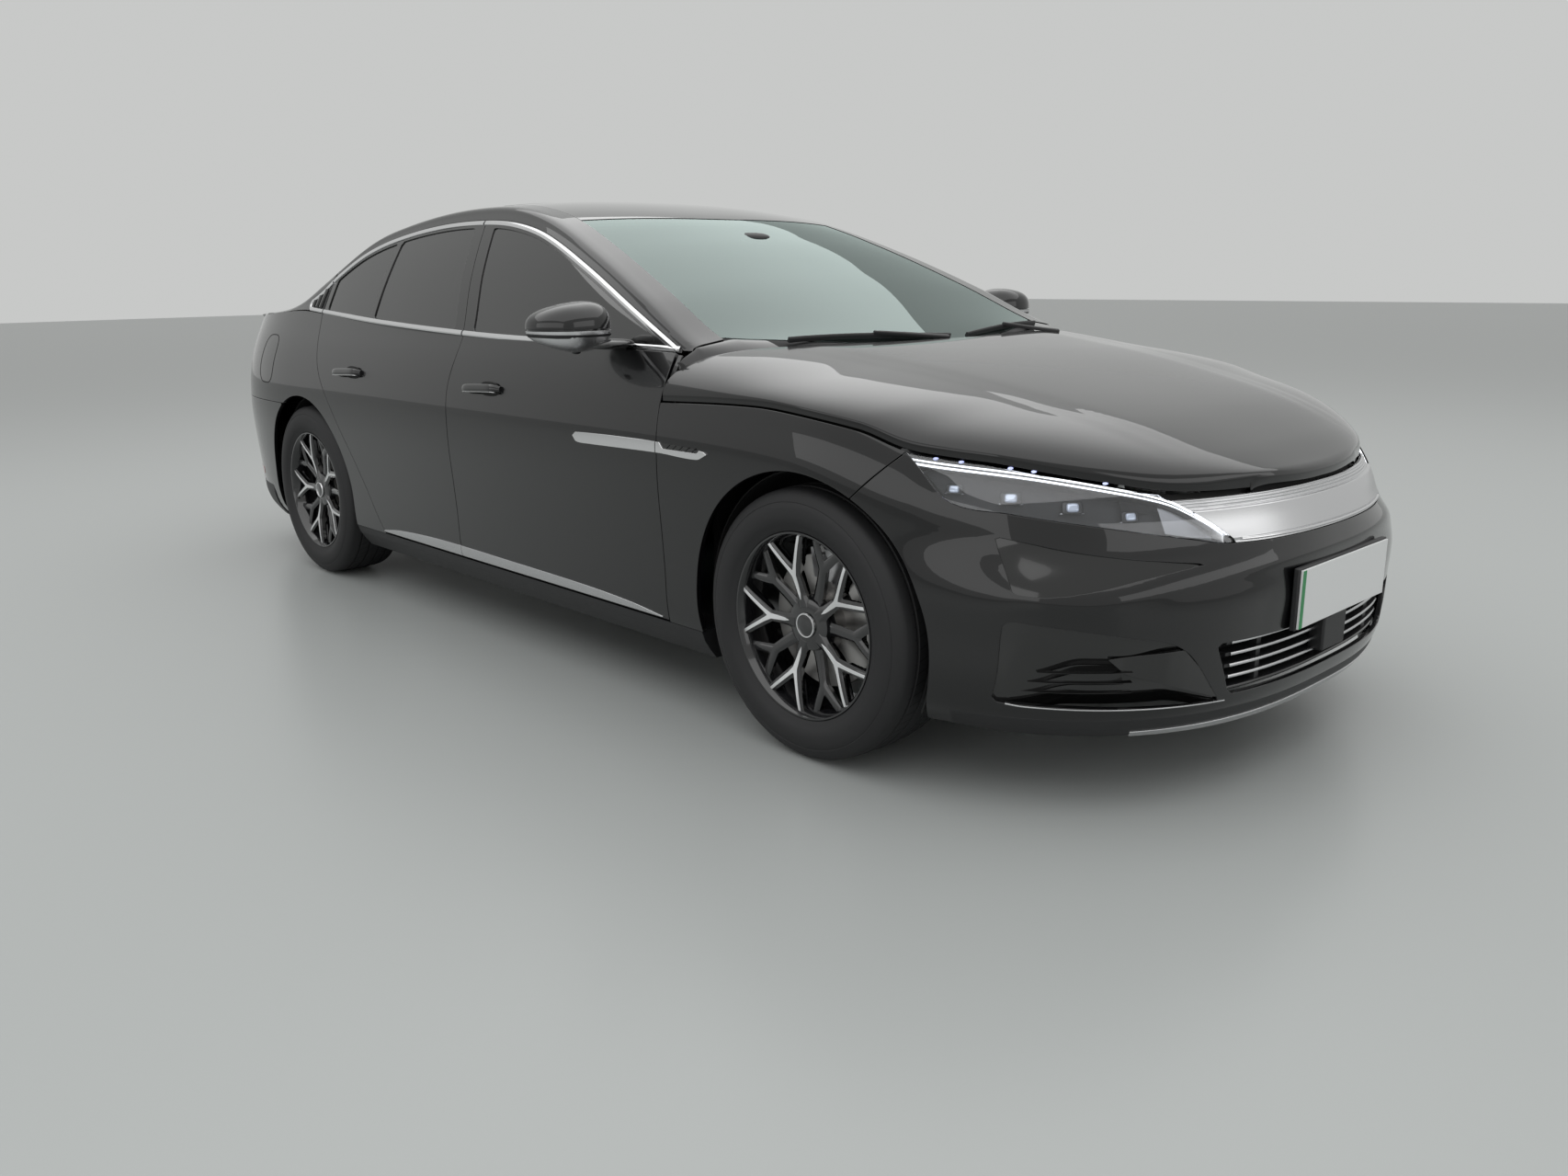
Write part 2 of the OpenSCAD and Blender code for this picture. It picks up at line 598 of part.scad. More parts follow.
// Top edge of the front bumper, by angle round the nose
bumper_top = [[0, 830], [19.5, 808], [26, 709], [35, 685], [48, 656], [60, 626], [68, 608], [90, 604]];
bar_angle = 66;
lamp_angle = 20;
nose_angles = [6, 10, 14, 17, lamp_angle, 23, 26, 30, 35, 41, 48, 54, 60, bar_angle, 71, 77, 83, 90];
function angles_between(a, b) = [for (c = nose_angles) if (c >= a && c <= b) c];
module nose_skin(low, high, angles, rows, t, out) {
    both = concat(angles, [for (i = [len(angles) - 2:-1:0]) 180 - angles[i]]);
    function turned(a) = a > 90 ? 180 - a : a;
    outer = [
        for (a = both) [
            for (r = steps(0, 1, rows))
                let (c = turned(a), p = nose_point(c, mix(low(c), high(c), r)), s = a > 90 ? -1 : 1)
                [p[0] + out * sin(c), s * (p[1] + out * cos(c)), p[2]]]];
    inner = [
        for (i = [0:len(both) - 1]) [
            for (p = outer[i])
                let (c = turned(both[i]), s = both[i] > 90 ? -1 : 1)
                p - [t * sin(c) ^ 0.7, s * t * cos(c) ^ 0.7, 0]]];
    skin(outer, inner);
}
grille_w = 860;
grille_low = real_z(262);
grille_high = real_z(392);
module front_bumper() {
    color(paint) difference() {
        nose_skin(
            function(a) sill_low + 14,
            function(a) real_z(curve(bumper_top, a)) - seam,
            nose_angles, 9, panel_t, 0);
        for (left = [true, false]) on_side(left) {
            wheel_hole(axle_f);
            across(200, 1200)
                polygon([[axle_f + 0.6, 0], [axle_f + 0.6, wheel_z], wing_line(0) + [0.6, 0], wing_line(1) + [0.6, 0],
                    [real_x(1846) + 0.6, 1200], [0, 1200], [0, 0]]);
        }
        translate([axle_f + 500, -grille_w / 2, grille_low])
            cube([1000, grille_w, grille_high - grille_low]);
        for (left = [true, false]) on_side(left) translate([axle_f + 400, 0, 0])
            rotate([90, 0, 90]) linear_extrude(1000) polygon(intake_outline);
    }
    color(trim_black) {
        plate_holder(length / 2, real_z(461));
        for (left = [true, false]) on_side(left) intake_insert();
    }
}
// Side intakes, seen from the front: outer edge, upper edge down to the pointed blade, lower edge
intake_outline = [
    for (p = [[832, 455], [846, 300], [838, 262], [440, 246], [548, 386], [662, 424]]) [p[0], real_z(p[1])]];
module intake_insert() {
    angles = [23, 27, 31, 36, 42, 49, 56, 62, 66.5];
    depth = [for (a = angles) (a < 25 || a > 65 ? panel_t - 3 : 44)];
    function wall(out) = [
        for (i = [0:len(angles) - 1]) [
            for (r = steps(0, 1, 3))
                let (p = nose_point(angles[i], real_z(mix(232, 474, r))),
                    d = r < 0.1 || r > 0.9 ? panel_t - 3 : depth[i] - (i % 2) * 8)
                p - (d + out) * [sin(angles[i]), cos(angles[i]), 0]]];
    skin(wall(0), wall(5));
}
// Flat holder for a number plate, with four screw holes
plate_w = 480;
plate_h = 140;
plate_hole_x = 420;
plate_hole_z = 100;
module plate_holder(x, z) {
    difference() {
        translate([x - 16, -plate_w / 2, z - plate_h / 2]) cube([16, plate_w, plate_h]);
        for (y = [-1, 1], h = [-1, 1])
            translate([x - 12, y * plate_hole_x / 2, z + h * plate_hole_z / 2]) rotate([0, 90, 0])
                cylinder(r = 3, h = 20, $fn = 24);
    }
}
// Slats across the lower intake, each following the nose, on posts from the crash beam
slats = 5;
beam_x = real_x(2390);
beam_z = real_z(430);
module front_grille() {
    color(trim_black) {
        for (i = [0:slats - 1]) {
            z = grille_low + 6 + i * (grille_high - grille_low - 12 - 8) / (slats - 1);
            upright(z, z + 8) slat_outline(z);
        }
        for (y = [-300, 0, 300])
            translate([beam_x + seam, y - 10, grille_low + 4])
                cube([slat_back(0, grille_high) - beam_x + 6, 20, beam_z + 60 - grille_low]);
    }
}
slat_depth = 34;
function slat_back(y, z) =
    nose_x(z) - (nose_x(z) - axle_f) * (1 - (1 - (abs(y) / half_w) ^ nose_round) ^ (1 / nose_round)) - 22 - slat_depth;
module slat_outline(z) {
    ys = steps(-grille_w / 2 + 8, grille_w / 2 - 8, 12);
    polygon(concat(
        [for (y = ys) [slat_back(y, z) + slat_depth, y]],
        [for (i = [len(ys) - 1:-1:0]) [slat_back(ys[i], z), ys[i]]]));
}
module front_light_bar() {
    color(chrome) nose_skin(
        function(a) real_z(curve(bumper_top, a)) + seam,
        function(a) edge_z(nose_point(a, real_z(722))[0]) - shut_gap,
        concat([bar_angle + 0.05], angles_between(bar_angle + 1, 90)), 4, 24, -2);
}
lamp_depth = 50;
module headlamp() {
    angles = angles_between(lamp_angle, bar_angle);
    outer = [
        for (a = angles) [
            for (r = steps(0, 1, 4))
                let (
                    low = real_z(curve(bumper_top, a)) + seam,
                    high = edge_z(nose_point(a, real_z(780))[0]) - shut_gap,
                    p = nose_point(a, mix(low, max(high, low + 2), r))
                )
                p - [2 * sin(a), 2 * cos(a), 0]]];
    inner = [
        for (i = [0:len(angles) - 1]) [
            for (p = outer[i]) p - lamp_depth * [sin(angles[i]), cos(angles[i]), 0]]];
    skin(outer, inner);
}
module headlamps() {
    color(dark_glass) for (left = [true, false]) on_side(left) headlamp();
}

// Tail: bumper and lamps follow the rounded end
module tail_skin(low, high, angles, rows, t) {
    both = concat(angles, angles[len(angles) - 1] == 90 ? [for (i = [len(angles) - 2:-1:0]) 180 - angles[i]] : []);
    function turned(a) = a > 90 ? 180 - a : a;
    outer = [
        for (a = both) [
            for (r = steps(0, 1, rows))
                let (c = turned(a), p = tail_point(c, mix(low, high, r)), s = a > 90 ? -1 : 1)
                [p[0], s * p[1], p[2]]]];
    inner = [
        for (i = [0:len(both) - 1]) [
            for (p = outer[i])
                let (c = turned(both[i]), s = both[i] > 90 ? -1 : 1)
                p + [t * sin(c) ^ 0.7, -s * t * cos(c) ^ 0.7, 0]]];
    skin(outer, inner);
}
module rear_bumper() {
    color(paint) difference() {
        tail_skin(sill_low + 30, bumper_split_z - seam,
            [4, 8, 12, 16, 20, 24, 32, 40, 48, 56, 64, 72, 81, 90], 8, panel_t);
        for (left = [true, false]) on_side(left) {
            wheel_hole(axle_r);
            across(200, 1200)
                polygon([[axle_r - 0.6, 0], [axle_r - 0.6, wheel_z], [axle_r - arch_r + 39.4, bumper_split_z],
                    [axle_r - arch_r + 39.4, 1200], [0, 1200], [0, 0]]);
        }
    }
    color(trim_black) mirror([1, 0, 0]) plate_holder(length / 2, real_z(560));
}
module tail_lamps() {
    color("darkred") for (left = [true, false]) on_side(left)
        tail_skin(lamp_low + seam, lamp_high - seam, [49.6, 54, 58, 61], 1, 22);
}

// Boot lid: a deck behind the rear window and the upper tail between the lamps
function lid_tail_x(y, z) =
    axle_r - (axle_r - tail_x(z)) * (1 - min(abs(y) / straight_w(axle_r, z), 1) ^ tail_round) ^ (1 / tail_round);
module boot_skin() {
    lip = real_z(1104);
    rows = [-1, -0.85, -0.6, -0.3, 0, 0.3, 0.6, 0.85, 1];
    function tail_y(r, z) = r * lid_tail_half;
    low = bumper_split_z + shut_gap;
    faces = [lip, real_z(1060), real_z(1000), lamp_high + 10, lamp_low - 10, real_z(780), low];
    deck = steps(0, 0.96, 6);
    function deck_point(r, s, cut) =
        let (
            x0 = rear_screen_base_x + rear_screen_bow * r ^ 2 - 2.5 * shut_gap,
            x1 = lid_tail_x(tail_y(r, lip), lip),
            x = mix(x0, x1, s),
            y = r * min(lid_w(x) - shut_gap, mix(1000, tail_y(1, lip) + 2, ease((s - 0.5) * 2)))
        )
        [x, y, max(top_z(x, y), belt_z(x)) - 2 + 14 * ease((s - 0.4) / 0.6)];
    outer = concat(
        [for (s = deck) [for (r = rows) deck_point(r, s)]],
        [for (z = faces) [for (r = rows) let (y = tail_y(r, z)) [lid_tail_x(y, z), y, z]]]);
    inner = concat(
        [for (s = deck) [for (r = rows) deck_point(r, s) + [s > 0.9 ? 8 : 0, 0, -panel_t]]],
        [for (z = faces) [for (r = rows) let (y = tail_y(r, z)) [lid_tail_x(y, z) + panel_t, y, min(z, lip - panel_t)]]]);
    skin(outer, inner);
}
// Boot hinges: curved necks that swing round the rear window's edge
boot_hinge_x = real_x(-1850);
boot_hinge_z = real_z(1085);
boot_neck_y = half_w - 375;
boot_neck_r = 116;
module boot_lid() {
    color(paint) {
        boot_skin();
        for (side = [-1, 1]) difference() {
            across(side * boot_neck_y - 6, side * boot_neck_y + 6)
                translate([boot_hinge_x, boot_hinge_z]) {
                    polygon(concat(
                        [for (a = steps(174, 254, 10)) (boot_neck_r + 8) * [cos(a), sin(a)]],
                        [for (a = steps(254, 174, 10)) (boot_neck_r - 8) * [cos(a), sin(a)]]));
                    rotate(250) translate([0, -8]) square([boot_neck_r, 16]);
                    circle(r = 12, $fn = 32);
                }
            translate([boot_hinge_x, side * boot_neck_y, boot_hinge_z]) rotate([90, 0, 0])
                cylinder(r = hinge_pin_r + seam, h = 30, center = true, $fn = 32);
        }
    }
}

// Sill between the wheel arches
module sills() {
    x0 = axle_r + sqrt(arch_r ^ 2 - (wheel_z - sill_top) ^ 2) + 4;
    x1 = axle_f - sqrt(arch_r ^ 2 - (wheel_z - sill_top) ^ 2) - 4;
    outer = [
        for (x = steps(x0, x1, 8)) [
            for (z = steps(sill_low, sill_top - shut_gap, 3)) [x, side_y(x, z), z]]];
    color(trim_black) for (left = [true, false]) on_side(left)
        skin(outer, [for (row = outer) [for (p = row) [p[0], half_w - 170, p[2]]]]);
}

// Floor with the bulkhead, the rear seat's step and the boot
floor_w = half_w - 110;
floor_z = sill_top - shut_gap + seam;
well_y = half_w - 460;
boot_z = real_z(400);
bulkhead_x = real_x(1120);
seat_step_x = real_x(-700);
boot_x = real_x(-1080);
boot_w = track / 2 - tyre_w / 2 - 60;
module floor_pan() {
    color(trim_black) {
        translate([seat_step_x, -floor_w, floor_z]) cube([bulkhead_x + 20 - seat_step_x, 2 * floor_w, floor_t]);
        translate([bulkhead_x, -floor_w, floor_z]) cube([20, 2 * floor_w, real_z(640)]);
        translate([seat_step_x - 20, 25 - floor_w, floor_z]) cube([20, 2 * floor_w - 50, boot_z + floor_t - floor_z]);
        translate([boot_x, -boot_w, boot_z]) cube([seat_step_x - boot_x, 2 * boot_w, floor_t]);
        translate([real_x(-2340), -boot_w, boot_z]) cube([boot_x - real_x(-2340), 2 * boot_w, floor_t]);
        for (side = [-1, 1])
            translate([real_x(-2300), side * (boot_w - 10) - 10, boot_z])
                cube([boot_x - 60 - real_x(-2300), 20, real_z(420)]);
        translate([boot_x - 20, -boot_w, boot_z]) cube([20, 2 * boot_w, real_z(420)]);
    }
}

// Block of the battery under the floor
module battery_pack() {
    color("gray") translate([seat_step_x + 20, -floor_w + 110, ground_clearance])
        cube([bulkhead_x - seat_step_x - 120, 2 * floor_w - 220, floor_z - seam - ground_clearance]);
}
module drive_unit() {
    color("silver") translate([axle_r - 190, -190, 205]) cube([400, 380, boot_z - seam - 205]);
}

// Rails and cross members that carry the wheels
rail_in = 400;
module front_subframe() {
    color(trim_black) {
        for (side = [-1, 1])
            translate([bulkhead_x + 20 + seam, side * (rail_in + 25) - 25, beam_z])
                cube([beam_x - 60 - bulkhead_x - 20 - seam, 50, 100]);
        translate([beam_x - 60, -450, beam_z]) cube([60, 900, 100]);
        translate([axle_f - 60, -rail_in - 50, 215]) cube([120, 2 * rail_in + 100, 60]);
        for (side = [-1, 1]) {
            translate([axle_f - 30, side * (rail_in + 25) - 25, 215]) cube([60, 50, beam_z - 200]);
            upright(225, 251) polygon([[axle_f - 50, side * rail_in], [axle_f + 50, side * rail_in],
                [axle_f + 22, side * steer_y], [axle_f - 22, side * steer_y]]);
            translate([axle_f, side * steer_y, 225]) cylinder(r = 24, h = 26, $fn = 32);
            translate([axle_f, side * steer_y, 225]) cylinder(r = 10, h = 60, $fn = 32);
        }
    }
}
module rear_subframe() {
    color(trim_black) {
        for (side = [-1, 1]) {
            translate([axle_r - 260, side * (rail_in + 25) - 25, 300]) cube([560, 50, boot_z - seam - 300]);
            upright(225, 251) polygon([[axle_r - 60, side * rail_in], [axle_r + 60, side * rail_in],
                [axle_r + 30, side * (track / 2 - 75)], [axle_r - 30, side * (track / 2 - 75)]]);
            translate([axle_r - 30, side * (rail_in + 25) - 25, 225]) cube([60, 50, 80]);
        }
        translate([axle_r - 260, -rail_in - 50, 300]) cube([60, 2 * rail_in + 100, 60]);
        translate([axle_r + 240, -rail_in - 50, 300]) cube([60, 2 * rail_in + 100, 60]);
    }
}

// Knuckles: an upright with the spindle of the wheel and the brake caliper
steer_y = track / 2 - 40;
disc_off = 6;
spindle_r = hub_bore_r - seam;
disc_y = track / 2 + disc_off;
module knuckle_body(x, in_y) {
    translate([x - 30, in_y - 24, 251 + seam]) cube([60, 40, 200]);
    translate([x, disc_y + 24, wheel_z]) rotate([90, 0, 0])
        cylinder(r = spindle_r, h = disc_y + 24 - in_y, $fn = 48);
    translate([x - 65, in_y - 24, wheel_z - 45]) cube([130, 26, 90]);
    translate([x - 30, in_y - 24, wheel_z + disc_d / 2 - 60]) cube([60, 42, 30]);
}
module knuckle(left) {
    color("gray") on_side(left) difference() {
        union() {
            caliper(axle_f, steer_y);
            knuckle_body(axle_f, steer_y - 46);
            translate([axle_f - 30, steer_y - 70, 251 + seam]) cube([60, 94, 30]);
        }
        translate([axle_f, steer_y, 240]) cylinder(r = 10 + seam, h = 60, $fn = 32);
    }
}
module caliper(x, in_y) {
    translate([x, disc_y, wheel_z]) rotate([90, 0, 0]) difference() {
        rotate([0, 0, 50]) rotate_extrude(angle = 50, $fn = 64)
            translate([disc_d / 2 - 60, -30]) square([76, 60]);
        translate([0, 0, -20]) cylinder(r = disc_d / 2 + 6, h = 40, $fn = 64);
    }
}
module rear_knuckles() {
    color("gray") for (left = [true, false]) on_side(left) {
        knuckle_body(axle_r, track / 2 - 86);
        caliper(axle_r, track / 2 - 40);
    }
}

// Wheel: tyre, and rim with disc and hub
module tyre(x, left) {
    half = tyre_w / 2;
    bead = rim_d / 2;
    color(trim_black) on_side(left) translate([x, track / 2, wheel_z]) rotate([90, 0, 0])
        rotate_extrude($fn = 96) polygon([
            [bead + seam, half - 14], [bead + 16, half - 4], [bead + 50, half], [tyre_d / 2 - 34, half - 6],
            [tyre_d / 2 - 12, half - 18], [tyre_d / 2 - 3, half - 34], [tyre_d / 2, 0],
            [tyre_d / 2 - 3, 34 - half], [tyre_d / 2 - 12, 18 - half], [tyre_d / 2 - 34, 6 - half],
            [bead + 50, -half], [bead + 16, 4 - half], [bead + seam, 14 - half]]);
}
module rim(x, left) {
    half = tyre_w / 2 - 16;
    bead = rim_d / 2;
    color(chrome) on_side(left) translate([x, track / 2, wheel_z]) rotate([-90, 0, 0]) {
        rotate_extrude($fn = 96) polygon([
            [bead, half], [bead, half - 20], [bead - 14, half - 30], [bead - 22, 0], [bead - 14, 30 - half],
            [bead, 20 - half], [bead, -half], [bead - 8, -half], [bead - 24, 34 - half], [bead - 32, 0],
            [bead - 26, half - 34], [bead - 12, half]]);
        for (i = [0:2 * spokes - 1]) rotate([0, 0, 90 + 180 / spokes * i])
            translate([0, 0, half - 52]) linear_extrude(28) {
                polygon([[60, -15], [60, 15], [bead - 70, 11], [bead - 70, -11]]);
                for (s = [-1, 1])
                    polygon([[bead - 84, -11], [bead - 84, 11], [bead - 22, s * 34 + 9], [bead - 22, s * 34 - 9]]);
            }
        translate([0, 0, half - 60]) cylinder(r = 74, h = 36, $fn = 64);
        translate([0, 0, half - 24.01]) cylinder(r = 34, h = 6, $fn = 64);
        translate([0, 0, disc_off]) difference() {
            union() {
                cylinder(r = 72, h = half - 55 - disc_off, $fn = 64);
                translate([0, 0, -14]) cylinder(r = disc_d / 2, h = 28, $fn = 96);
            }
            translate([0, 0, -20]) cylinder(r = hub_bore_r, h = 20 + half - 70 - disc_off, $fn = 64);
        }
    }
}

// Cabin
dash_half = bonnet_lug_y - 20;
console_half = 105;
wheel_y = 370;
wheel_tilt = 22;
module at_wheel() {
    translate([bulkhead_x - 560, wheel_y, real_z(810)]) rotate([0, -90 + wheel_tilt, 0]) children();
}
column_r = 28;
module dashboard() {
    color(trim_black) difference() {
        dash_body();
        at_wheel() translate([0, 0, -400]) cylinder(r = column_r + seam, h = 300, $fn = 32);
    }
}
module dash_body() {
    union() {
        across(-dash_half, dash_half) polygon([[bulkhead_x - seam, 620], [bulkhead_x - seam, 900],
            [bulkhead_x - 40, 960], [bulkhead_x - 250, 950], [bulkhead_x - 400, 900], [bulkhead_x - 430, 860],
            [bulkhead_x - 330, 700]]);
        translate([real_x(-40), -console_half, floor_z + floor_t + seam])
            cube([bulkhead_x - seam - real_x(-40), 2 * console_half, 300]);
        translate([bulkhead_x - 440, -200, 850]) cube([16, 340, 200]);
        translate([bulkhead_x - 430, -60, 860]) cube([40, 120, 40]);
    }
}
module steering_wheel() {
    color(trim_black) at_wheel() {
        rotate_extrude($fn = 64) translate([steering_wheel_d / 2 - 16, 0]) circle(r = 16, $fn = 24);
        cylinder(r = 70, h = 40, center = true, $fn = 48);
        for (a = [0, 90, 270]) rotate([0, 0, a + 90])
            translate([50, -20, -8]) cube([steering_wheel_d / 2 - 64, 40, 16]);
        translate([0, 0, -260]) cylinder(r = column_r, h = 250, $fn = 32);
    }
}
module seat(x, y, w) {
    floor_top = floor_z + floor_t + seam;
    translate([0, y - w / 2, 0]) {
        across(0, w) polygon([[x - 60, 430], [x - 60, 570], [x + 200, 590], [x + 440, 600], [x + 480, 560],
            [x + 460, 450]]);
        across(0, w) polygon([[x - 60, 470], [x + 60, 500], [x - 90, 1060], [x - 200, 1060]]);
        across(w / 2 - 130, w / 2 + 130) polygon([[x - 110, 1050], [x - 200, 1050], [x - 215, 1240], [x - 135, 1240]]);
        for (s = [60, w - 90]) translate([x, s, floor_top]) cube([380, 30, 440 - floor_top]);
    }
}
front_seat_y = 380;
module front_seats() {
    color("dimgray") for (side = [-1, 1]) seat(real_x(-10), side * front_seat_y, seat_w);
}
module rear_seat() {
    w = 2 * boot_w;
    color("dimgray") {
        across(-w / 2, w / 2) polygon([[boot_x + 4, boot_z + floor_t + seam], [boot_x + 4, 560], [boot_x + 200, 590],
            [seat_step_x + 130, 600], [seat_step_x + 150, 460], [seat_step_x + seam, boot_z + floor_t + seam]]);
        across(-w / 2, w / 2) polygon([[boot_x + 4, 540], [boot_x + 170, 580], [boot_x + 60, 1040], [boot_x - 40, 1040],
            [boot_x + 4, 840]]);
    }
}

// Door mirror, on a foot at the front corner of the side window
mirror_x = real_x(700);
foot_x = mirror_x + 75;
module door_mirror() {
    hull() {
        translate([mirror_x, half_w + 55, real_z(1062)]) scale([0.55, 1, 0.62]) sphere(r = 100, $fn = 16);
        translate([mirror_x + 60, half_w - 10, real_z(1062)]) scale([0.55, 1, 0.62]) sphere(r = 50, $fn = 16);
    }
    low = belt_z(foot_x) + 4;
    function face_y(z) = window_y(foot_x, z) + seam;
    translate([foot_x, 0, 0]) rotate([90, 0, 90]) linear_extrude(60)
        polygon([[face_y(low), low], [half_w - 20, low + 10], [half_w, low + 50], [half_w - 40, low + 60],
            [face_y(low + 40), low + 40]]);
}
module mirrors(left) {
    color(paint) on_side(left) door_mirror();
}

floor_pan();
body_side(true);  // body_side_left
body_side(false);  // body_side_right
roof_panel();
sills();
fenders();
front_bumper();
front_grille();
front_light_bar();
headlamps();
rear_bumper();
tail_lamps();
windscreen();
rear_window();
dashboard();
steering_wheel();
front_seats();
rear_seat();
battery_pack();
drive_unit();
front_subframe();
rear_subframe();
rear_knuckles();
bonnet();
boot_lid();
front_door(true);  // front_door_left
front_door(false);  // front_door_right
rear_door(true);  // rear_door_left
rear_door(false);  // rear_door_right
color(dark_glass) on_side(true) door_glass(true);  // front_glass_left
color(dark_glass) on_side(false) door_glass(true);  // front_glass_right
color(dark_glass) on_side(true) door_glass(false);  // rear_glass_left
color(dark_glass) on_side(false) door_glass(false);  // rear_glass_right
mirrors(true);  // mirror_left
mirrors(false);  // mirror_right
knuckle(true);  // knuckle_left
knuckle(false);  // knuckle_right
tyre(axle_f, true);  // tyre_front_left
tyre(axle_f, false);  // tyre_front_right
tyre(axle_r, true);  // tyre_rear_left
tyre(axle_r, false);  // tyre_rear_right
rim(axle_f, true);  // rim_front_left
rim(axle_f, false);  // rim_front_right
rim(axle_r, true);  // rim_rear_left
rim(axle_r, false);  // rim_rear_right
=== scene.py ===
# %% [markdown]
# # A large black saloon, dressed on its CAD frame
#
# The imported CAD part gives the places, sizes and joints. This lesson lays smooth panels, glass, lamps,
# wheels and a cabin over it, each piece riding on the body that carries it. Lengths are millimetres
# until a mesh is made, where they become metres.

# %% The frame
import math

import bpy
import numpy as np
from mathutils import Matrix, Vector


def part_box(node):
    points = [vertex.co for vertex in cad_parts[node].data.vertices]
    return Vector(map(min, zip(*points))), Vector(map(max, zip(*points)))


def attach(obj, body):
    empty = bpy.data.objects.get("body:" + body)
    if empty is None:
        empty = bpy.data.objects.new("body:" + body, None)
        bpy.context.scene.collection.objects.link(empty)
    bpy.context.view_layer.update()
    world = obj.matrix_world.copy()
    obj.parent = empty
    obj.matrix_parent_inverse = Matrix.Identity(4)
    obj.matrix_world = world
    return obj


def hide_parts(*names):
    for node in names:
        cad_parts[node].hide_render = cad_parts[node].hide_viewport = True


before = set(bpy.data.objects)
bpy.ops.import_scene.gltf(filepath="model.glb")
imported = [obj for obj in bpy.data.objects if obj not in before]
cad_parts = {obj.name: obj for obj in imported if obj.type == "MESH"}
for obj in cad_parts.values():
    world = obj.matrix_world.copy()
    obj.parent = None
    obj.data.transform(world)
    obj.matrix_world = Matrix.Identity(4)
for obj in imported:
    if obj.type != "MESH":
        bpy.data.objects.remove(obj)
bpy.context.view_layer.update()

# %% [markdown]
# The wheels of the frame tell where the axles are. The body's own lines are drawn for a car 1468 mm
# high and are stretched to the frame's height when a mesh is made.

# %% Driving dimensions
def box_mm(node):
    low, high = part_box(node)
    return 1000 * np.array(low), 1000 * np.array(high)

low, high = box_mm("tyre_front_left")
axle_f, wheel_y, wheel_z = (low + high) / 2
tyre_w, tyre_r = high[1] - low[1], (high[2] - low[2]) / 2
axle_r = box_mm("tyre_rear_left")[0][0] + tyre_r
half_w = 955.0
length = 4995.0
body_height, drawn_height = 1475.0, 1468.0
lift = body_height / drawn_height
shut_gap = 4.0
arch_r = 393.0
print(f"axles at {axle_f:.1f} and {axle_r:.1f}, tyre {2 * tyre_r:.0f} x {tyre_w:.0f}")

# %% [markdown]
# ## The body's surfaces
# Each line is a short list of points joined by a smooth curve. The surfaces follow from the lines.

# %% Lines of the body
def curve(rows, x):
    """Smooth value at x of a line given as rows of (x, value)."""
    rows = np.asarray(rows, float)
    x = np.clip(np.asarray(x, float), rows[0, 0], rows[-1, 0])
    n = len(rows)
    a, b = np.maximum(np.arange(n) - 1, 0), np.minimum(np.arange(n) + 1, n - 1)
    slope = (rows[b, 1] - rows[a, 1]) / (rows[b, 0] - rows[a, 0])
    i = np.clip(np.searchsorted(rows[:, 0], x, side="right") - 1, 0, n - 2)
    h = rows[i + 1, 0] - rows[i, 0]
    t = (x - rows[i, 0]) / h
    return ((2 * t**3 - 3 * t**2 + 1) * rows[i, 1] + (t**3 - 2 * t**2 + t) * h * slope[i]
            + (3 * t**2 - 2 * t**3) * rows[i + 1, 1] + (t**3 - t**2) * h * slope[i + 1])

def ease(t):
    t = np.clip(t, 0, 1)
    return t * t * (3 - 2 * t)

def mix(a, b, t):
    return a + (b - a) * t

# Inset of the body side from its widest line, by height
side_profile = [(170, 78), (230, 36), (300, 20), (420, 15), (520, 9), (640, 1), (720, 0), (790, 3),
                (850, 14), (900, 31), (950, 54), (1000, 82), (1080, 128)]
# How far the shoulder has dropped at each x
shoulder_drop = [(900, 0), (1300, 6), (1547, 22), (1723, 50), (1873, 85), (2100, 125), (2300, 160), (2500, 175)]
# Line along the bonnet's lower edge
bonnet_edge = [(1016, 871), (1300, 881), (1470, 879), (1723, 850), (1846, 812), (1940, 798), (2032, 785),
               (2195, 747), (2299, 720), (2400, 711)]
bonnet_crown = [(1000, 1018), (1230, 1000), (1547, 964), (1850, 912), (2100, 856), (2300, 790), (2410, 738)]
nose_line = [(170, 2430), (230, 2468), (300, 2478), (400, 2482), (480, 2484), (590, 2468), (650, 2446),
             (700, 2420), (726, 2404), (820, 2340), (900, 2280)]
tail_line = [(170, -2400), (260, -2440), (380, -2476), (520, -2490), (640, -2482), (760, -2452), (860, -2430),
             (980, -2440), (1080, -2455), (1110, -2440)]
belt_line = [(-2400, 1034), (-2000, 1054), (-1560, 1077), (-1349, 1070), (-800, 1040), (-20, 1012),
             (600, 1003), (1060, 998)]
window_top = [(-1580, 1078), (-1403, 1150), (-1300, 1216), (-1118, 1300), (-900, 1352), (-600, 1386),
              (-309, 1391), (-100, 1376), (128, 1330), (450, 1222), (755, 1100), (1000, 998)]
roof_line = [(-2440, 1036), (-2300, 1040), (-2140, 1056), (-1980, 1106), (-1700, 1220), (-1400, 1330),
             (-1100, 1408), (-800, 1453), (-450, 1468), (-150, 1458), (150, 1408), (400, 1324), (700, 1204),
             (1000, 1080), (1240, 985)]
rail_line = [(-2440, 1033), (-2140, 1048), (-1800, 1070), (-1580, 1112), (-1403, 1190), (-1118, 1336),
             (-900, 1390), (-600, 1428), (-309, 1436), (-100, 1420), (128, 1372), (450, 1262), (755, 1138),
             (1040, 1010), (1240, 975)]
# Top of the front bumper, by angle round the nose
bumper_top = [(0, 830), (19.5, 808), (26, 709), (35, 685), (48, 656), (60, 626), (68, 608), (90, 604)]
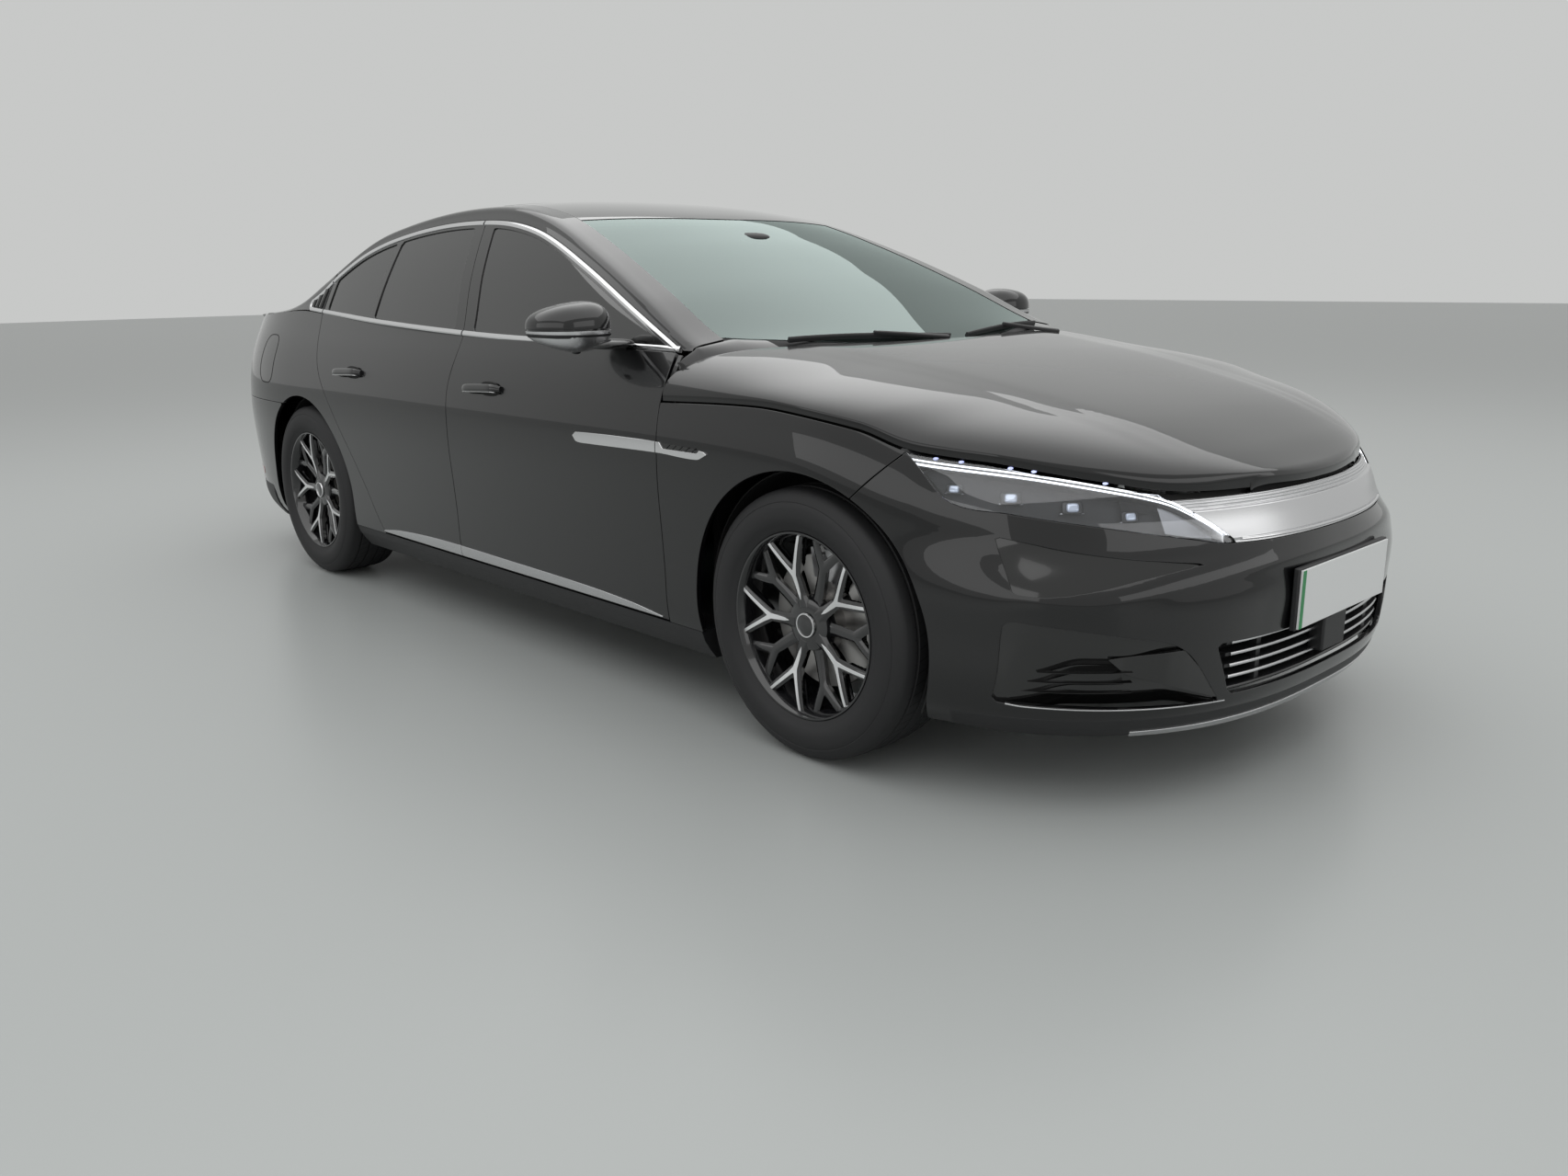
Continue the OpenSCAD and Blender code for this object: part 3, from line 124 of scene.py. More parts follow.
# Shut lines, as (height, x)
pillar_rows = [(263, -150), (700, -141), (1008, -124), (1200, -212), (1388, -315)]
rear_edge_rows = [(263, -730), (621, -998), (859, -1192), (994, -1287), (1080, -1330)]

def nose_x(z): return curve(nose_line, z)
def tail_x(z): return curve(tail_line, z)
def edge_z(x): return curve(bonnet_edge, x)
def belt_z(x): return curve(belt_line, x)
def window_top_z(x): return curve(window_top, x)
def roof_z(x): return curve(roof_line, x)
def rail_z(x): return curve(rail_line, x)
def crown_z(x): return curve(bonnet_crown, x)
def nose_power(z): return 2.6 - 0.4 * ease((np.asarray(z, float) - 480) / 160)
tail_power = 3.4

# %% Surfaces
def straight_w(x, z):
    raised = curve(shoulder_drop, x) * ease((z - 540) / 220)
    return half_w - curve(side_profile, z + raised)

def side_y(x, z):
    n = nose_power(z)
    front = np.clip((x - axle_f) / (nose_x(z) - axle_f), 0, 1)
    rear = np.clip((axle_r - x) / (axle_r - tail_x(z)), 0, 1)
    return straight_w(x, z) * (1 - front**n) ** (1 / n) * (1 - rear**tail_power) ** (1 / tail_power)

def window_y(x, z):
    up = z - belt_z(x)
    return half_w - 88 - 58 * ((x + 150) / 1500) ** 2 - 0.44 * up - 0.00042 * up**2

def rail_y(x):
    return window_y(x, rail_z(x))

def top_z(x, y):
    share = np.minimum(np.abs(y) / rail_y(x), 1)
    return rail_z(x) + (roof_z(x) - rail_z(x)) * (1 - share**2.4)

def nose_point(a, z):
    """Round the nose: 0 at the left side, 90 on the centre line, 180 at the right side."""
    n = nose_power(z)
    s, c = np.sin(np.radians(a)), np.cos(np.radians(a))
    x = axle_f + (nose_x(z) - axle_f) * np.clip(s, 0, 1) ** (2 / n)
    return x, np.sign(c) * straight_w(x, z) * np.abs(c) ** (2 / n), z

def tail_point(a, z):
    s, c = np.sin(np.radians(a)), np.cos(np.radians(a))
    x = axle_r - (axle_r - tail_x(z)) * np.clip(s, 0, 1) ** (2 / tail_power)
    return x, np.sign(c) * straight_w(axle_r, z) * np.abs(c) ** (2 / tail_power), z

print(f"roof at {roof_z(-450) * lift:.0f}, nose at {nose_x(480):.0f}, tail at {tail_x(520):.0f}")

# %% [markdown]
# ## Sheets
# A sheet is a fine grid on a surface. It is trimmed by fields, numbers that are positive where the
# panel stays, and then made into a panel with rolled edges and an inner face.

# %% Sheet, trim and panel
class Sheet:
    def __init__(self, us, vs, surface, middle=(0, 0, 700)):
        u, v = np.meshgrid(us, vs, indexing="ij")
        p = np.stack(np.broadcast_arrays(*surface(u, v)), -1).astype(float)
        n = np.cross(np.gradient(p, axis=0), np.gradient(p, axis=1))
        n /= np.linalg.norm(n, axis=2, keepdims=True) + 1e-12
        if (n * (p - middle)).sum() < 0:
            n = -n
        m, k = u.shape
        self.p, self.n = p.reshape(-1, 3), n.reshape(-1, 3)
        self.q = np.stack([u, v], -1).reshape(-1, 2)
        i = (np.arange(m - 1)[:, None] * k + np.arange(k - 1)).ravel()
        quads = np.stack([i, i + k, i + k + 1, i + 1], 1)
        a = np.cross(self.p[quads[:, 2]] - self.p[quads[:, 0]], self.p[quads[:, 3]] - self.p[quads[:, 1]])
        if (a * self.n[quads[:, 0]]).sum() < 0:
            quads = quads[:, ::-1]
        self.faces = [tuple(f) for f in quads.tolist()]

    @property
    def x(self): return self.p[:, 0]
    @property
    def y(self): return self.p[:, 1]
    @property
    def z(self): return self.p[:, 2]

    def copy(self):
        new = object.__new__(Sheet)
        new.p, new.n, new.q, new.faces = self.p.copy(), self.n.copy(), self.q.copy(), list(self.faces)
        return new

    def pushed(self, out):
        """The same sheet moved along its normals, by a number or one number for each point."""
        new = self.copy()
        new.p = self.p + self.n * np.reshape(out, (-1, 1))
        return new

    def shaped(self):
        """Normals worked out afresh from the faces, after points were moved."""
        n = np.zeros_like(self.p)
        for f in self.faces:
            a = np.cross(self.p[f[2]] - self.p[f[0]], self.p[f[-1]] - self.p[f[1]])
            for i in f:
                n[i] += a
        self.n = n / (np.linalg.norm(n, axis=1, keepdims=True) + 1e-12)
        return self

    def trim(self, *fields):
        """Keeps what has every field positive. A field is a function of the sheet."""
        for field in fields:
            f = field(self)
            data = np.hstack([self.p, self.n, self.q])
            extra, cut, faces = [], {}, []
            inside = f >= 0
            for face in self.faces:
                kept = [inside[i] for i in face]
                if all(kept):
                    faces.append(face)
                    continue
                if not any(kept):
                    continue
                poly = []
                for a, b in zip(face, face[1:] + face[:1]):
                    if inside[a]:
                        poly.append(a)
                    if inside[a] != inside[b]:
                        key = (min(a, b), max(a, b))
                        if key not in cut:
                            t = f[key[0]] / (f[key[0]] - f[key[1]])
                            extra.append(mix(data[key[0]], data[key[1]], t))
                            cut[key] = len(data) + len(extra) - 1
                        poly.append(cut[key])
                if len(poly) > 2:
                    faces.append(tuple(poly))
            if extra:
                data = np.vstack([data, extra])
            used = np.unique(np.concatenate([np.array(f) for f in faces])) if faces else np.array([], int)
            place = np.full(len(data), -1)
            place[used] = np.arange(len(used))
            data = data[used]
            self.p, self.n, self.q = data[:, :3], data[:, 3:6], data[:, 6:]
            self.n /= np.linalg.norm(self.n, axis=1, keepdims=True) + 1e-12
            self.faces = [tuple(int(place[i]) for i in f) for f in faces]
        return self

def both(*fields):
    """The least of several fields."""
    return lambda s: np.minimum.reduce([f(s) for f in fields])

def rounded(radius, *fields):
    """Where the fields meet, the corner is rounded."""
    def value(s):
        short = [np.maximum(radius - f(s), 0) for f in fields]
        return radius - np.sqrt(sum(v * v for v in short))
    return value

def outside(field):
    return lambda s: -field(s)

def make_mesh(name, points, faces, normals=None, material=None, smooth=True):
    """A mesh object from millimetre points."""
    mesh = bpy.data.meshes.new(name)
    mesh.from_pydata((np.asarray(points, float) * (0.001, 0.001, 0.001 * lift)).tolist(), [], faces)
    if normals is not None:
        n = np.asarray(normals, float) / (1, 1, lift)
        n /= np.linalg.norm(n, axis=1, keepdims=True) + 1e-12
        mesh.shade_smooth()
        mesh.normals_split_custom_set_from_vertices(n.tolist())
    elif smooth:
        mesh.shade_smooth()
    obj = bpy.data.objects.new(name, mesh)
    bpy.context.scene.collection.objects.link(obj)
    if material:
        mesh.materials.append(material)
    return obj

def rolled(s, roll=1.6, depth=12.0, back=True):
    """Points, faces and normals of a sheet with its free edges rolled in and an inner face."""
    edges = {}
    for f in s.faces:
        for a, b in zip(f, f[1:] + f[:1]):
            edges[(a, b)] = edges.get((a, b), 0) + 1
    free = [(a, b) for a, b in edges if (b, a) not in edges]
    out = np.zeros_like(s.p)
    for a, b in free:
        e = np.cross(s.p[b] - s.p[a], s.n[a])
        out[a] += e
        out[b] += e
    rim = sorted({i for e in free for i in e})
    place = {i: k for k, i in enumerate(rim)}
    o = out[rim] / (np.linalg.norm(out[rim], axis=1, keepdims=True) + 1e-12)
    p, n = s.p[rim], s.n[rim]
    rings = [(p + o * roll * 0.7 - n * roll * 0.3, n + o), (p + o * roll - n * roll, o), (p + o * roll - n * depth, o)]
    points, normals, faces = [s.p], [s.n], list(s.faces)
    start, before = len(s.p), {i: i for i in rim}
    for ring, normal in rings:
        points.append(ring)
        normals.append(normal)
        now = {i: start + place[i] for i in rim}
        faces += [(before[b], before[a], now[a], now[b]) for a, b in free]
        before, start = now, start + len(rim)
    if back:
        points.append(s.p - s.n * depth)
        normals.append(-s.n)
        faces += [tuple(start + i for i in reversed(f)) for f in s.faces]
        faces += [(before[b], before[a], start + a, start + b) for a, b in free]
    return np.vstack(points), faces, np.vstack(normals)

pieces_made = []

def carry(obj, body, finish):
    """Rides the piece on its body and adds its name to the pieces made."""
    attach(obj, body)
    pieces_made.append(obj.name)
    return obj

def panel(name, sheet, material, body, roll=1.6, depth=12.0, back=True, mirrored=False):
    """A panel for one side, or with mirrored for the other."""
    points, faces, normals = rolled(sheet, roll, depth, back)
    if mirrored:
        points, normals = points * (1, -1, 1), normals * (1, -1, 1)
        faces = [f[::-1] for f in faces]
    return carry(make_mesh(name, points, faces, normals, material), body, material)

def pair(name, sheet, material, bodies, **how):
    """The same panel on the left and the right."""
    bodies = (bodies, bodies) if isinstance(bodies, str) else bodies
    return [panel(f"{name}_left", sheet, material, bodies[0], **how),
            panel(f"{name}_right", sheet, material, bodies[1], mirrored=True, **how)]

# %% [markdown]
# ## Materials
# Most are plain finishes. The ones that vary are built from a small class that turns sums into nodes.

# %% Node sums
class Node:
    """A socket of a node tree that can be used in sums."""
    def __init__(self, tree, socket):
        self.tree, self.socket = tree, socket

    def make(self, kind, settings=(), out=0, **sockets):
        node = self.tree.nodes.new(kind)
        for key, value in dict(settings).items():
            setattr(node, key, value)
        for key, value in sockets.items():
            place = node.inputs[int(key[1:])] if key[0] == "_" else node.inputs[key.replace("_", " ")]
            if isinstance(value, Node):
                self.tree.links.new(value.socket, place)
            else:
                place.default_value = value
        return Node(self.tree, node.outputs[out])

    def math(self, operation, *values):
        return self.make("ShaderNodeMath", {"operation": operation}, **{f"_{i}": v for i, v in enumerate(values)})

    def __add__(self, o): return self.math("ADD", self, o)
    def __radd__(self, o): return self.math("ADD", o, self)
    def __sub__(self, o): return self.math("SUBTRACT", self, o)
    def __rsub__(self, o): return self.math("SUBTRACT", o, self)
    def __mul__(self, o): return self.math("MULTIPLY", self, o)
    def __rmul__(self, o): return self.math("MULTIPLY", o, self)
    def __truediv__(self, o): return self.math("DIVIDE", self, o)
    def __rtruediv__(self, o): return self.math("DIVIDE", o, self)
    def __neg__(self): return self.math("MULTIPLY", self, -1.0)
    def above(self, edge, soft):
        """0 below the edge, 1 above it, over a soft width."""
        node = self.math("DIVIDE", self - edge, soft)
        node.socket.node.use_clamp = True
        return node
    def wave(self, period): return self.math("SINE", self * (2 * math.pi / period))

def material(name, color=(0.5, 0.5, 0.5), rough=0.5, metal=0.0, coat=0.0, coat_rough=0.02, glow=None, power=1.0,
             spec=0.5, tint=None):
    """A plain finish."""
    m = bpy.data.materials.new(name)
    m.use_nodes = True
    bsdf = m.node_tree.nodes["Principled BSDF"]
    values = {"Base Color": (*color, 1), "Roughness": rough, "Metallic": metal, "Coat Weight": coat,
              "Coat Roughness": coat_rough, "Specular IOR Level": spec}
    if glow:
        values["Emission Color"], values["Emission Strength"] = (*glow, 1), power
    for key, value in values.items():
        bsdf.inputs[key].default_value = value
    m.diffuse_color = (*color, 1)
    return m

def sums(m):
    """A starting point for sums in a material, and a function that feeds them to the finish."""
    tree = m.node_tree
    bsdf = tree.nodes["Principled BSDF"]
    start = Node(tree, None)
    def feed(**values):
        for key, value in values.items():
            tree.links.new(value.socket, bsdf.inputs[key.replace("_", " ")])
    return start, feed

def bump(m, scale, depth, detail=2.0, stretch=(1, 1, 1)):
    """Fine grain on a finish, scale in metres."""
    n, feed = sums(m)
    place = n.make("ShaderNodeTexCoord", out=3)
    place = n.make("ShaderNodeMapping", Vector=place, Scale=tuple(s / scale for s in stretch))
    grain = n.make("ShaderNodeTexNoise", Vector=place, Scale=1.0, Detail=detail)
    feed(Normal=n.make("ShaderNodeBump", Strength=1.0, Distance=depth, Height=grain))
    return m

def see_through(name, color, sheen=0.01, tone=(1, 1, 1)):
    """Thin glass: what is behind it shows through its tint, and it mirrors more at a slant."""
    m = bpy.data.materials.new(name)
    m.use_nodes = True
    tree = m.node_tree
    tree.nodes.remove(tree.nodes["Principled BSDF"])
    n = Node(tree, None)
    behind = n.make("ShaderNodeBsdfTransparent", Color=(*color, 1))
    shine = n.make("ShaderNodeBsdfGlossy", Color=(*tone, 1), Roughness=0.0)
    facing = n.make("ShaderNodeFresnel", IOR=1.5)
    mixed = n.make("ShaderNodeMixShader", _0=facing * 1.1 + sheen, _1=behind, _2=shine)
    tree.links.new(mixed.socket, tree.nodes["Material Output"].inputs["Surface"])
    m.diffuse_color = (*color, 0.5)
    return m

# %% Finishes
paint = material("black_paint", (0.0022, 0.0022, 0.0026), 0.30, coat=1.0, coat_rough=0.006, spec=0.15)
roof_black = material("roof_glass_black", (0.004, 0.004, 0.005), 0.05, coat=1.0)
gloss_black = material("gloss_black", (0.006, 0.006, 0.006), 0.09, coat=0.6)
satin_black = bump(material("satin_black", (0.012, 0.012, 0.013), 0.48), 0.0012, 0.00003)
# Near-black: painted shade on the sheets and spots set where there is only shade (behind the grille and the bar, in the
# handle pockets, in the tread cuts), and the own black of the wheel liners and the seams.
black_trim_and_painted_shade = material("black_trim_and_painted_shade", (0.004, 0.004, 0.004), 0.8)
rubber = bump(material("tyre_rubber", (0.011, 0.011, 0.012), 0.68), 0.0015, 0.00005)
seal_rubber = material("seal_rubber", (0.01, 0.01, 0.01), 0.6)
chrome = material("bright_chrome", (0.80, 0.80, 0.81), 0.10, metal=1.0)
silver = material("satin_silver", (0.66, 0.66, 0.67), 0.26, metal=1.0)
alloy_bright = material("machined_alloy", (0.90, 0.90, 0.91), 0.30, metal=1.0, coat=0.7)
alloy_black = material("black_alloy", (0.008, 0.008, 0.009), 0.16, coat=0.8)
iron = material("brake_iron", (0.42, 0.41, 0.40), 0.36, metal=1.0)
caliper_silver = material("caliper_silver", (0.55, 0.55, 0.56), 0.38, metal=0.9)
glass_dark = see_through("tinted_glass", (0.15, 0.13, 0.17), sheen=0.07)
glass_front = see_through("screen_glass", (0.46, 0.55, 0.53), sheen=0.09, tone=(0.80, 0.93, 0.90))
lamp_cover = see_through("lamp_cover", (0.93, 0.94, 0.96))
mirror_glass = material("mirror_glass", (0.9, 0.9, 0.92), 0.02, metal=1.0)
led_white = material("led_white", (0.9, 0.9, 0.9), 0.4, glow=(0.92, 0.96, 1.0), power=1.7)
# Faint blue glow for small spots in the lamps: painted glints, not lamps.
painted_blue_glint = material("painted_blue_glint", (0.7, 0.75, 0.85), 0.3, glow=(0.35, 0.40, 1.0), power=0.6)
tail_red = material("tail_red", (0.22, 0.004, 0.006), 0.12, coat=1.0)
tail_glow = material("tail_glow", (0.6, 0.02, 0.02), 0.3, glow=(1.0, 0.05, 0.03), power=1.6)
# The lens glass glows faintly blue: a painted glint on the lens, not lamplight.
lens = material("lens_glass_painted_glint", (0.62, 0.66, 0.72), 0.08, metal=0.8, coat=1.0, glow=(0.7, 0.8, 1.0), power=0.25)
plate_white = material("plate_white", (0.66, 0.67, 0.67), 0.42)
plate_green = material("plate_green", (0.02, 0.22, 0.07), 0.42)
leather = bump(material("leather", (0.30, 0.265, 0.235), 0.52), 0.0016, 0.00008)
leather_dark = bump(material("leather_dark", (0.045, 0.04, 0.038), 0.5), 0.0016, 0.00008)
cabin_trim = material("cabin_trim", (0.05, 0.048, 0.046), 0.55)
print(len(bpy.data.materials), "finishes")

# %% [markdown]
# ## Shut lines
# A panel's edges are fields: distances from a shut line, positive on the panel's side.

# %% Fields
gap = shut_gap / 2 + 0.6
roll = 1.6
door_front_x = 1019.0
pillar_rows = [(260, -143), (540, -141), (815, -141), (1008, -141), (1200, -226), (1400, -318)]
rear_rows = [(262, -738), (440, -862), (621, -998), (859, -1192), (960, -1262), (1062, -1330)]
sill_top, sill_low = 262.0, 172.0
bumper_split = 700.0

def slant(rows, s):
    """How much a shut line that leans is nearer than it looks along x."""
    step = (curve(rows, s.z + 5) - curve(rows, s.z - 5)) / 10
    return 1 / np.sqrt(1 + step**2)

def ahead(rows, by=gap): return lambda s: (s.x - curve(rows, s.z)) * slant(rows, s) - by
def behind(rows, by=gap): return lambda s: (curve(rows, s.z) - s.x) * slant(rows, s) - by
def above(z, by=0): return lambda s: s.z - z - by
def below(z, by=0): return lambda s: z - s.z - by
def fore(x, by=0): return lambda s: s.x - x - by
def aft(x, by=0): return lambda s: x - s.x - by
def off_arch(x0, by=0): return lambda s: np.hypot(s.x - x0, s.z * lift - wheel_z) - arch_r - by
def beside(a, b, by=0):
    """Distance in x, z from a line from a to b, positive on its left."""
    (ax, az), (bx, bz) = a, b
    d = math.hypot(bx - ax, bz - az)
    return lambda s: ((s.z - az) * (bx - ax) - (s.x - ax) * (bz - az)) / d - by

def span(a, b, step): return np.linspace(a, b, max(2, int(abs(b - a) / step) + 1))

def side_sheet(x0, x1, z0, z1, step=13.0):
    return Sheet(span(x0, x1, step), span(z0, z1, step), lambda x, z: (x, side_y(x, z), z), middle=(0, 0, 700))

def window_sheet(x0, x1, z_low, z_high, step=14.0, rows=8, out=0.0):
    """A sheet in the plane of the side windows between two lines of x."""
    def surface(x, t):
        z = mix(z_low(x), z_high(x), t)
        return x, window_y(x, z) + out, z
    return Sheet(span(x0, x1, step), np.linspace(0, 1, rows), surface, middle=(0, 0, 700))

# %% Sweeps, turned shapes and blobs
def from_grid(points, middle=(0, 0, 700)):
    """A sheet through a grid of points that is already worked out."""
    m, k = points.shape[:2]
    flat = points.reshape(-1, 3)
    def surface(u, v):
        i = (np.rint(u) * k + np.rint(v)).astype(int)
        return flat[i, 0], flat[i, 1], flat[i, 2]
    return Sheet(np.arange(m), np.arange(k), surface, middle=middle)

def even(points, count):
    """A smooth line through points, cut into even steps."""
    p = np.asarray(points, float)
    t = np.concatenate([[0], np.cumsum(np.linalg.norm(np.diff(p, axis=0), axis=1))])
    keep = np.concatenate([[True], np.diff(t) > 1e-6])
    p, t = p[keep], t[keep]
    at = np.linspace(0, t[-1], count)
    return np.stack([curve(np.stack([t, p[:, i]], 1), at) for i in range(3)], 1)

def even_angles(point, z, a0, a1, step=14.0):
    """Angles that make even steps along a rounded end."""
    a = np.linspace(a0, a1, 3000)
    p = np.stack(point(a, z * np.ones_like(a))[:2], 1)
    t = np.concatenate([[0], np.cumsum(np.linalg.norm(np.diff(p, axis=0), axis=1))])
    return np.interp(np.linspace(0, t[-1], int(t[-1] / step) + 2), t, a)

def side_points(surface, x, z, out=0.0):
    """Points and normals at x, z on a side surface y(x, z)."""
    x, z = np.broadcast_arrays(np.asarray(x, float), np.asarray(z, float))
    n = np.stack([(surface(x - 1, z) - surface(x + 1, z)) / 2, np.ones_like(x),
                  (surface(x, z - 1) - surface(x, z + 1)) / 2], -1)
    n /= np.linalg.norm(n, axis=-1, keepdims=True)
    return np.stack([x, surface(x, z), z], -1) + n * out, n

def end_points(point, a, z, out=0.0):
    """Points and normals at an angle and height on the nose or tail."""
    a, z = np.broadcast_arrays(np.asarray(a, float), np.asarray(z, float))
    p = np.stack(point(a, z), -1)
    du = np.stack(point(a + 0.1, z), -1) - np.stack(point(a - 0.1, z), -1)
    dv = np.stack(point(a, z + 1), -1) - np.stack(point(a, z - 1), -1)
    n = np.cross(du, dv)
    n /= np.linalg.norm(n, axis=-1, keepdims=True) + 1e-12
    n *= np.sign((n * (p * (1, 1, 0))).sum(-1, keepdims=True))
    return p + n * out, n

def link(name, points, faces, material, body, normals=None, angle=38, mirrored=False):
    points = np.asarray(points, float)
    if mirrored:
        points = points * (1, -1, 1)
        faces = [f[::-1] for f in faces]
        normals = None if normals is None else normals * (1, -1, 1)
    obj = make_mesh(name, points, faces, normals, material)
    if normals is None:
        obj.data.set_sharp_from_angle(angle=math.radians(angle))
    return carry(obj, body, material)

def swept(path, normals, profile, sizes=None, closed=False):
    """Points and faces of a profile of (across, out) carried along a path."""
    path, normals, profile = (np.asarray(v, float) for v in (path, normals, profile))
    if closed:
        tangent = np.roll(path, -1, 0) - np.roll(path, 1, 0)
    else:
        tangent = np.gradient(path, axis=0)
    across = np.cross(normals, tangent)
    across /= np.linalg.norm(across, axis=1, keepdims=True) + 1e-12
    size = np.ones((len(path), 2)) if sizes is None else np.asarray(sizes, float)
    if size.ndim == 1:
        size = np.stack([size, np.ones_like(size)], 1)
    points = (path[:, None] + across[:, None] * profile[None, :, 0, None] * size[:, None, 0, None]
              + normals[:, None] * profile[None, :, 1, None] * size[:, None, 1, None])
    m, k = points.shape[:2]
    faces = [(i * k + j, i * k + (j + 1) % k, (i + 1) % m * k + (j + 1) % k, (i + 1) % m * k + j)
             for i in range(m if closed else m - 1) for j in range(k)]
    if not closed:
        faces += [tuple(range(k))[::-1], tuple((m - 1) * k + j for j in range(k))]
    points = points.reshape(-1, 3)
    centre = points.reshape(m, k, 3).mean(1)
    a, b, c, _ = (points[i] for i in faces[0][:4])
    if np.dot(np.cross(b - a, c - a), (a + c) / 2 - centre[0]) < 0:
        faces = [f[::-1] for f in faces]
    return points, faces

def crowned(width, height, sink=2.0, steps=6):
    """Section of a strip: flat below, gently crowned above."""
    top = [(width / 2 * math.cos(a), height * math.sin(a) ** 0.6) for a in np.linspace(0.12, math.pi - 0.12, steps)]
    return [(width / 2, -sink)] + top + [(-width / 2, -sink)]

def strip(name, path, normals, width, height, material, bodies, sizes=None, closed=False, sink=2.0):
    """A strip on the left and one on the right."""
    points, faces = swept(path, normals, crowned(width, height, sink), sizes, closed)
    bodies = (bodies, bodies) if isinstance(bodies, str) else bodies
    return [link(f"{name}_left", points, faces, material, bodies[0]),
            link(f"{name}_right", points, faces, material, bodies[1], mirrored=True)]

def turned(name, profile, centre, material, body, steps=96, side=1, angle=35, start=0.0, stop=360.0):
    """A closed section of (radius, outward) turned about the wheel's axis."""
    profile = np.asarray(profile, float)
    full = stop - start >= 360
    turn = np.radians(np.linspace(start, stop, steps, endpoint=not full))
    r, o = profile[:, 0], profile[:, 1]
    points = np.stack([r[None] * np.cos(turn)[:, None], np.broadcast_to(side * o, (steps, len(r))),
                       r[None] * np.sin(turn)[:, None] / lift], -1)
    k = len(profile)
    faces = [(i * k + j, i * k + (j + 1) % k, (i + 1) % steps * k + (j + 1) % k, (i + 1) % steps * k + j)
             for i in range(steps if full else steps - 1) for j in range(k)]
    if not full:
        faces += [tuple(range(k)), tuple((steps - 1) * k + j for j in range(k))[::-1]]
    area = sum(profile[j - 1][0] * profile[j][1] - profile[j][0] * profile[j - 1][1] for j in range(k))
    if (area > 0) == (side > 0):
        faces = [f[::-1] for f in faces]
    return link(name, points.reshape(-1, 3) + (centre[0], centre[1], centre[2] / lift), faces, material, body,
                angle=angle)

def blob(name, centre, radii, material, body, power=2.6, steps=28, shape=None, mirrored=False):
    """A rounded block, softer as power nears 2."""
    u, v = np.meshgrid(np.linspace(-math.pi, math.pi, 2 * steps, endpoint=False), np.linspace(-math.pi / 2, math.pi / 2, steps),
                       indexing="ij")
    e = 2 / power
    f = lambda w: np.sign(w) * np.abs(w) ** e
    p = np.stack([f(np.cos(v)) * f(np.cos(u)), f(np.cos(v)) * f(np.sin(u)), f(np.sin(v))], -1) * radii
    if shape:
        p = shape(p)
    p = p + centre
    m, k = p.shape[:2]
    faces = [(i * k + j, (i + 1) % m * k + j, (i + 1) % m * k + j + 1, i * k + j + 1)
             for i in range(m) for j in range(k - 1)]
    return link(name, p.reshape(-1, 3), faces, material, body, angle=60, mirrored=mirrored)

def slab(name, low, high, material, body, mirrored=False, soft=0.0):
    """A plain box between two corners, with soft edges where asked."""
    (x0, y0, z0), (x1, y1, z1) = low, high
    c = [(x, y, z) for x in (x0, x1) for y in (y0, y1) for z in (z0, z1)]
    faces = [(0, 1, 3, 2), (4, 6, 7, 5), (0, 4, 5, 1), (2, 3, 7, 6), (0, 2, 6, 4), (1, 5, 7, 3)]
    obj = link(name, c, faces, material, body, mirrored=mirrored, angle=30)
    if soft:
        bevel = obj.modifiers.new("soft", "BEVEL")
        bevel.width, bevel.segments = soft / 1000, 3
    return obj

# %% [markdown]
# ## Doors
# A door is its painted lower skin, a black frame round the glass, the glass, and bright strips on the
# waist and on the frame's edge.

# %% Door skins and frames
doors = {"front": ("door_front_left", "door_front_right"), "rear": ("door_rear_left", "door_rear_right")}
frame_w, pillar_front, pillar_rear = 24.0, 58.0, 52.0
window_tip, quarter_x = 866.0, -1330.0
divider = ((-858.0, 1059.0), (-884.0, 1337.0))

def front_lower(step=34):
    return side_sheet(-160, 1021, sill_top - 2, 1050, step).trim(
        aft(door_front_x, gap), ahead(pillar_rows), above(sill_top, 1.5), lambda s: belt_z(s.x) - 2 - s.z)

def rear_lower(step=34):
    return side_sheet(-1345, -130, sill_top - 2, 1090, step).trim(
        behind(pillar_rows), ahead(rear_rows), above(sill_top, 1.5), off_arch(axle_r, gap), lambda s: belt_z(s.x) - 2 - s.z)

skins = pair("front_door_skin", front_lower(17), paint, doors["front"], depth=26)
skins += pair("rear_door_skin", rear_lower(17), paint, doors["rear"], depth=26)

def in_glass_front(by=0):
    return rounded(10, lambda s: s.z - belt_z(s.x) - 12 - by, lambda s: window_top_z(s.x) - frame_w - by - s.z,
                   ahead(pillar_rows, pillar_front + by), aft(window_tip, by))

def in_glass_rear(by=0):
    return rounded(10, lambda s: s.z - belt_z(s.x) - 12 - by, lambda s: window_top_z(s.x) - frame_w - by - s.z,
                   behind(pillar_rows, pillar_rear + by), outside(beside(*divider, by=-14 - by)))

def in_quarter_glass(by=0):
    return rounded(8, lambda s: s.z - belt_z(s.x) - 12 - by, lambda s: window_top_z(s.x) - frame_w - by - s.z,
                   beside(*divider, by=14 + by), fore(quarter_x, 34 + by))

waist = lambda x: belt_z(x) - 4
frame_front = window_sheet(-340, 992, waist, window_top_z, step=12, rows=27)
frame_front.trim(ahead(pillar_rows), outside(in_glass_front()))
frame_rear = window_sheet(quarter_x + gap, -120, waist, window_top_z, step=12, rows=27)
frame_rear.trim(behind(pillar_rows), outside(in_glass_rear()), outside(in_quarter_glass()))
skins_f = pair("front_door_frame", frame_front, gloss_black, doors["front"], depth=24, roll=1.2)
skins_r = pair("rear_door_frame", frame_rear, gloss_black, doors["rear"], depth=24, roll=1.2)

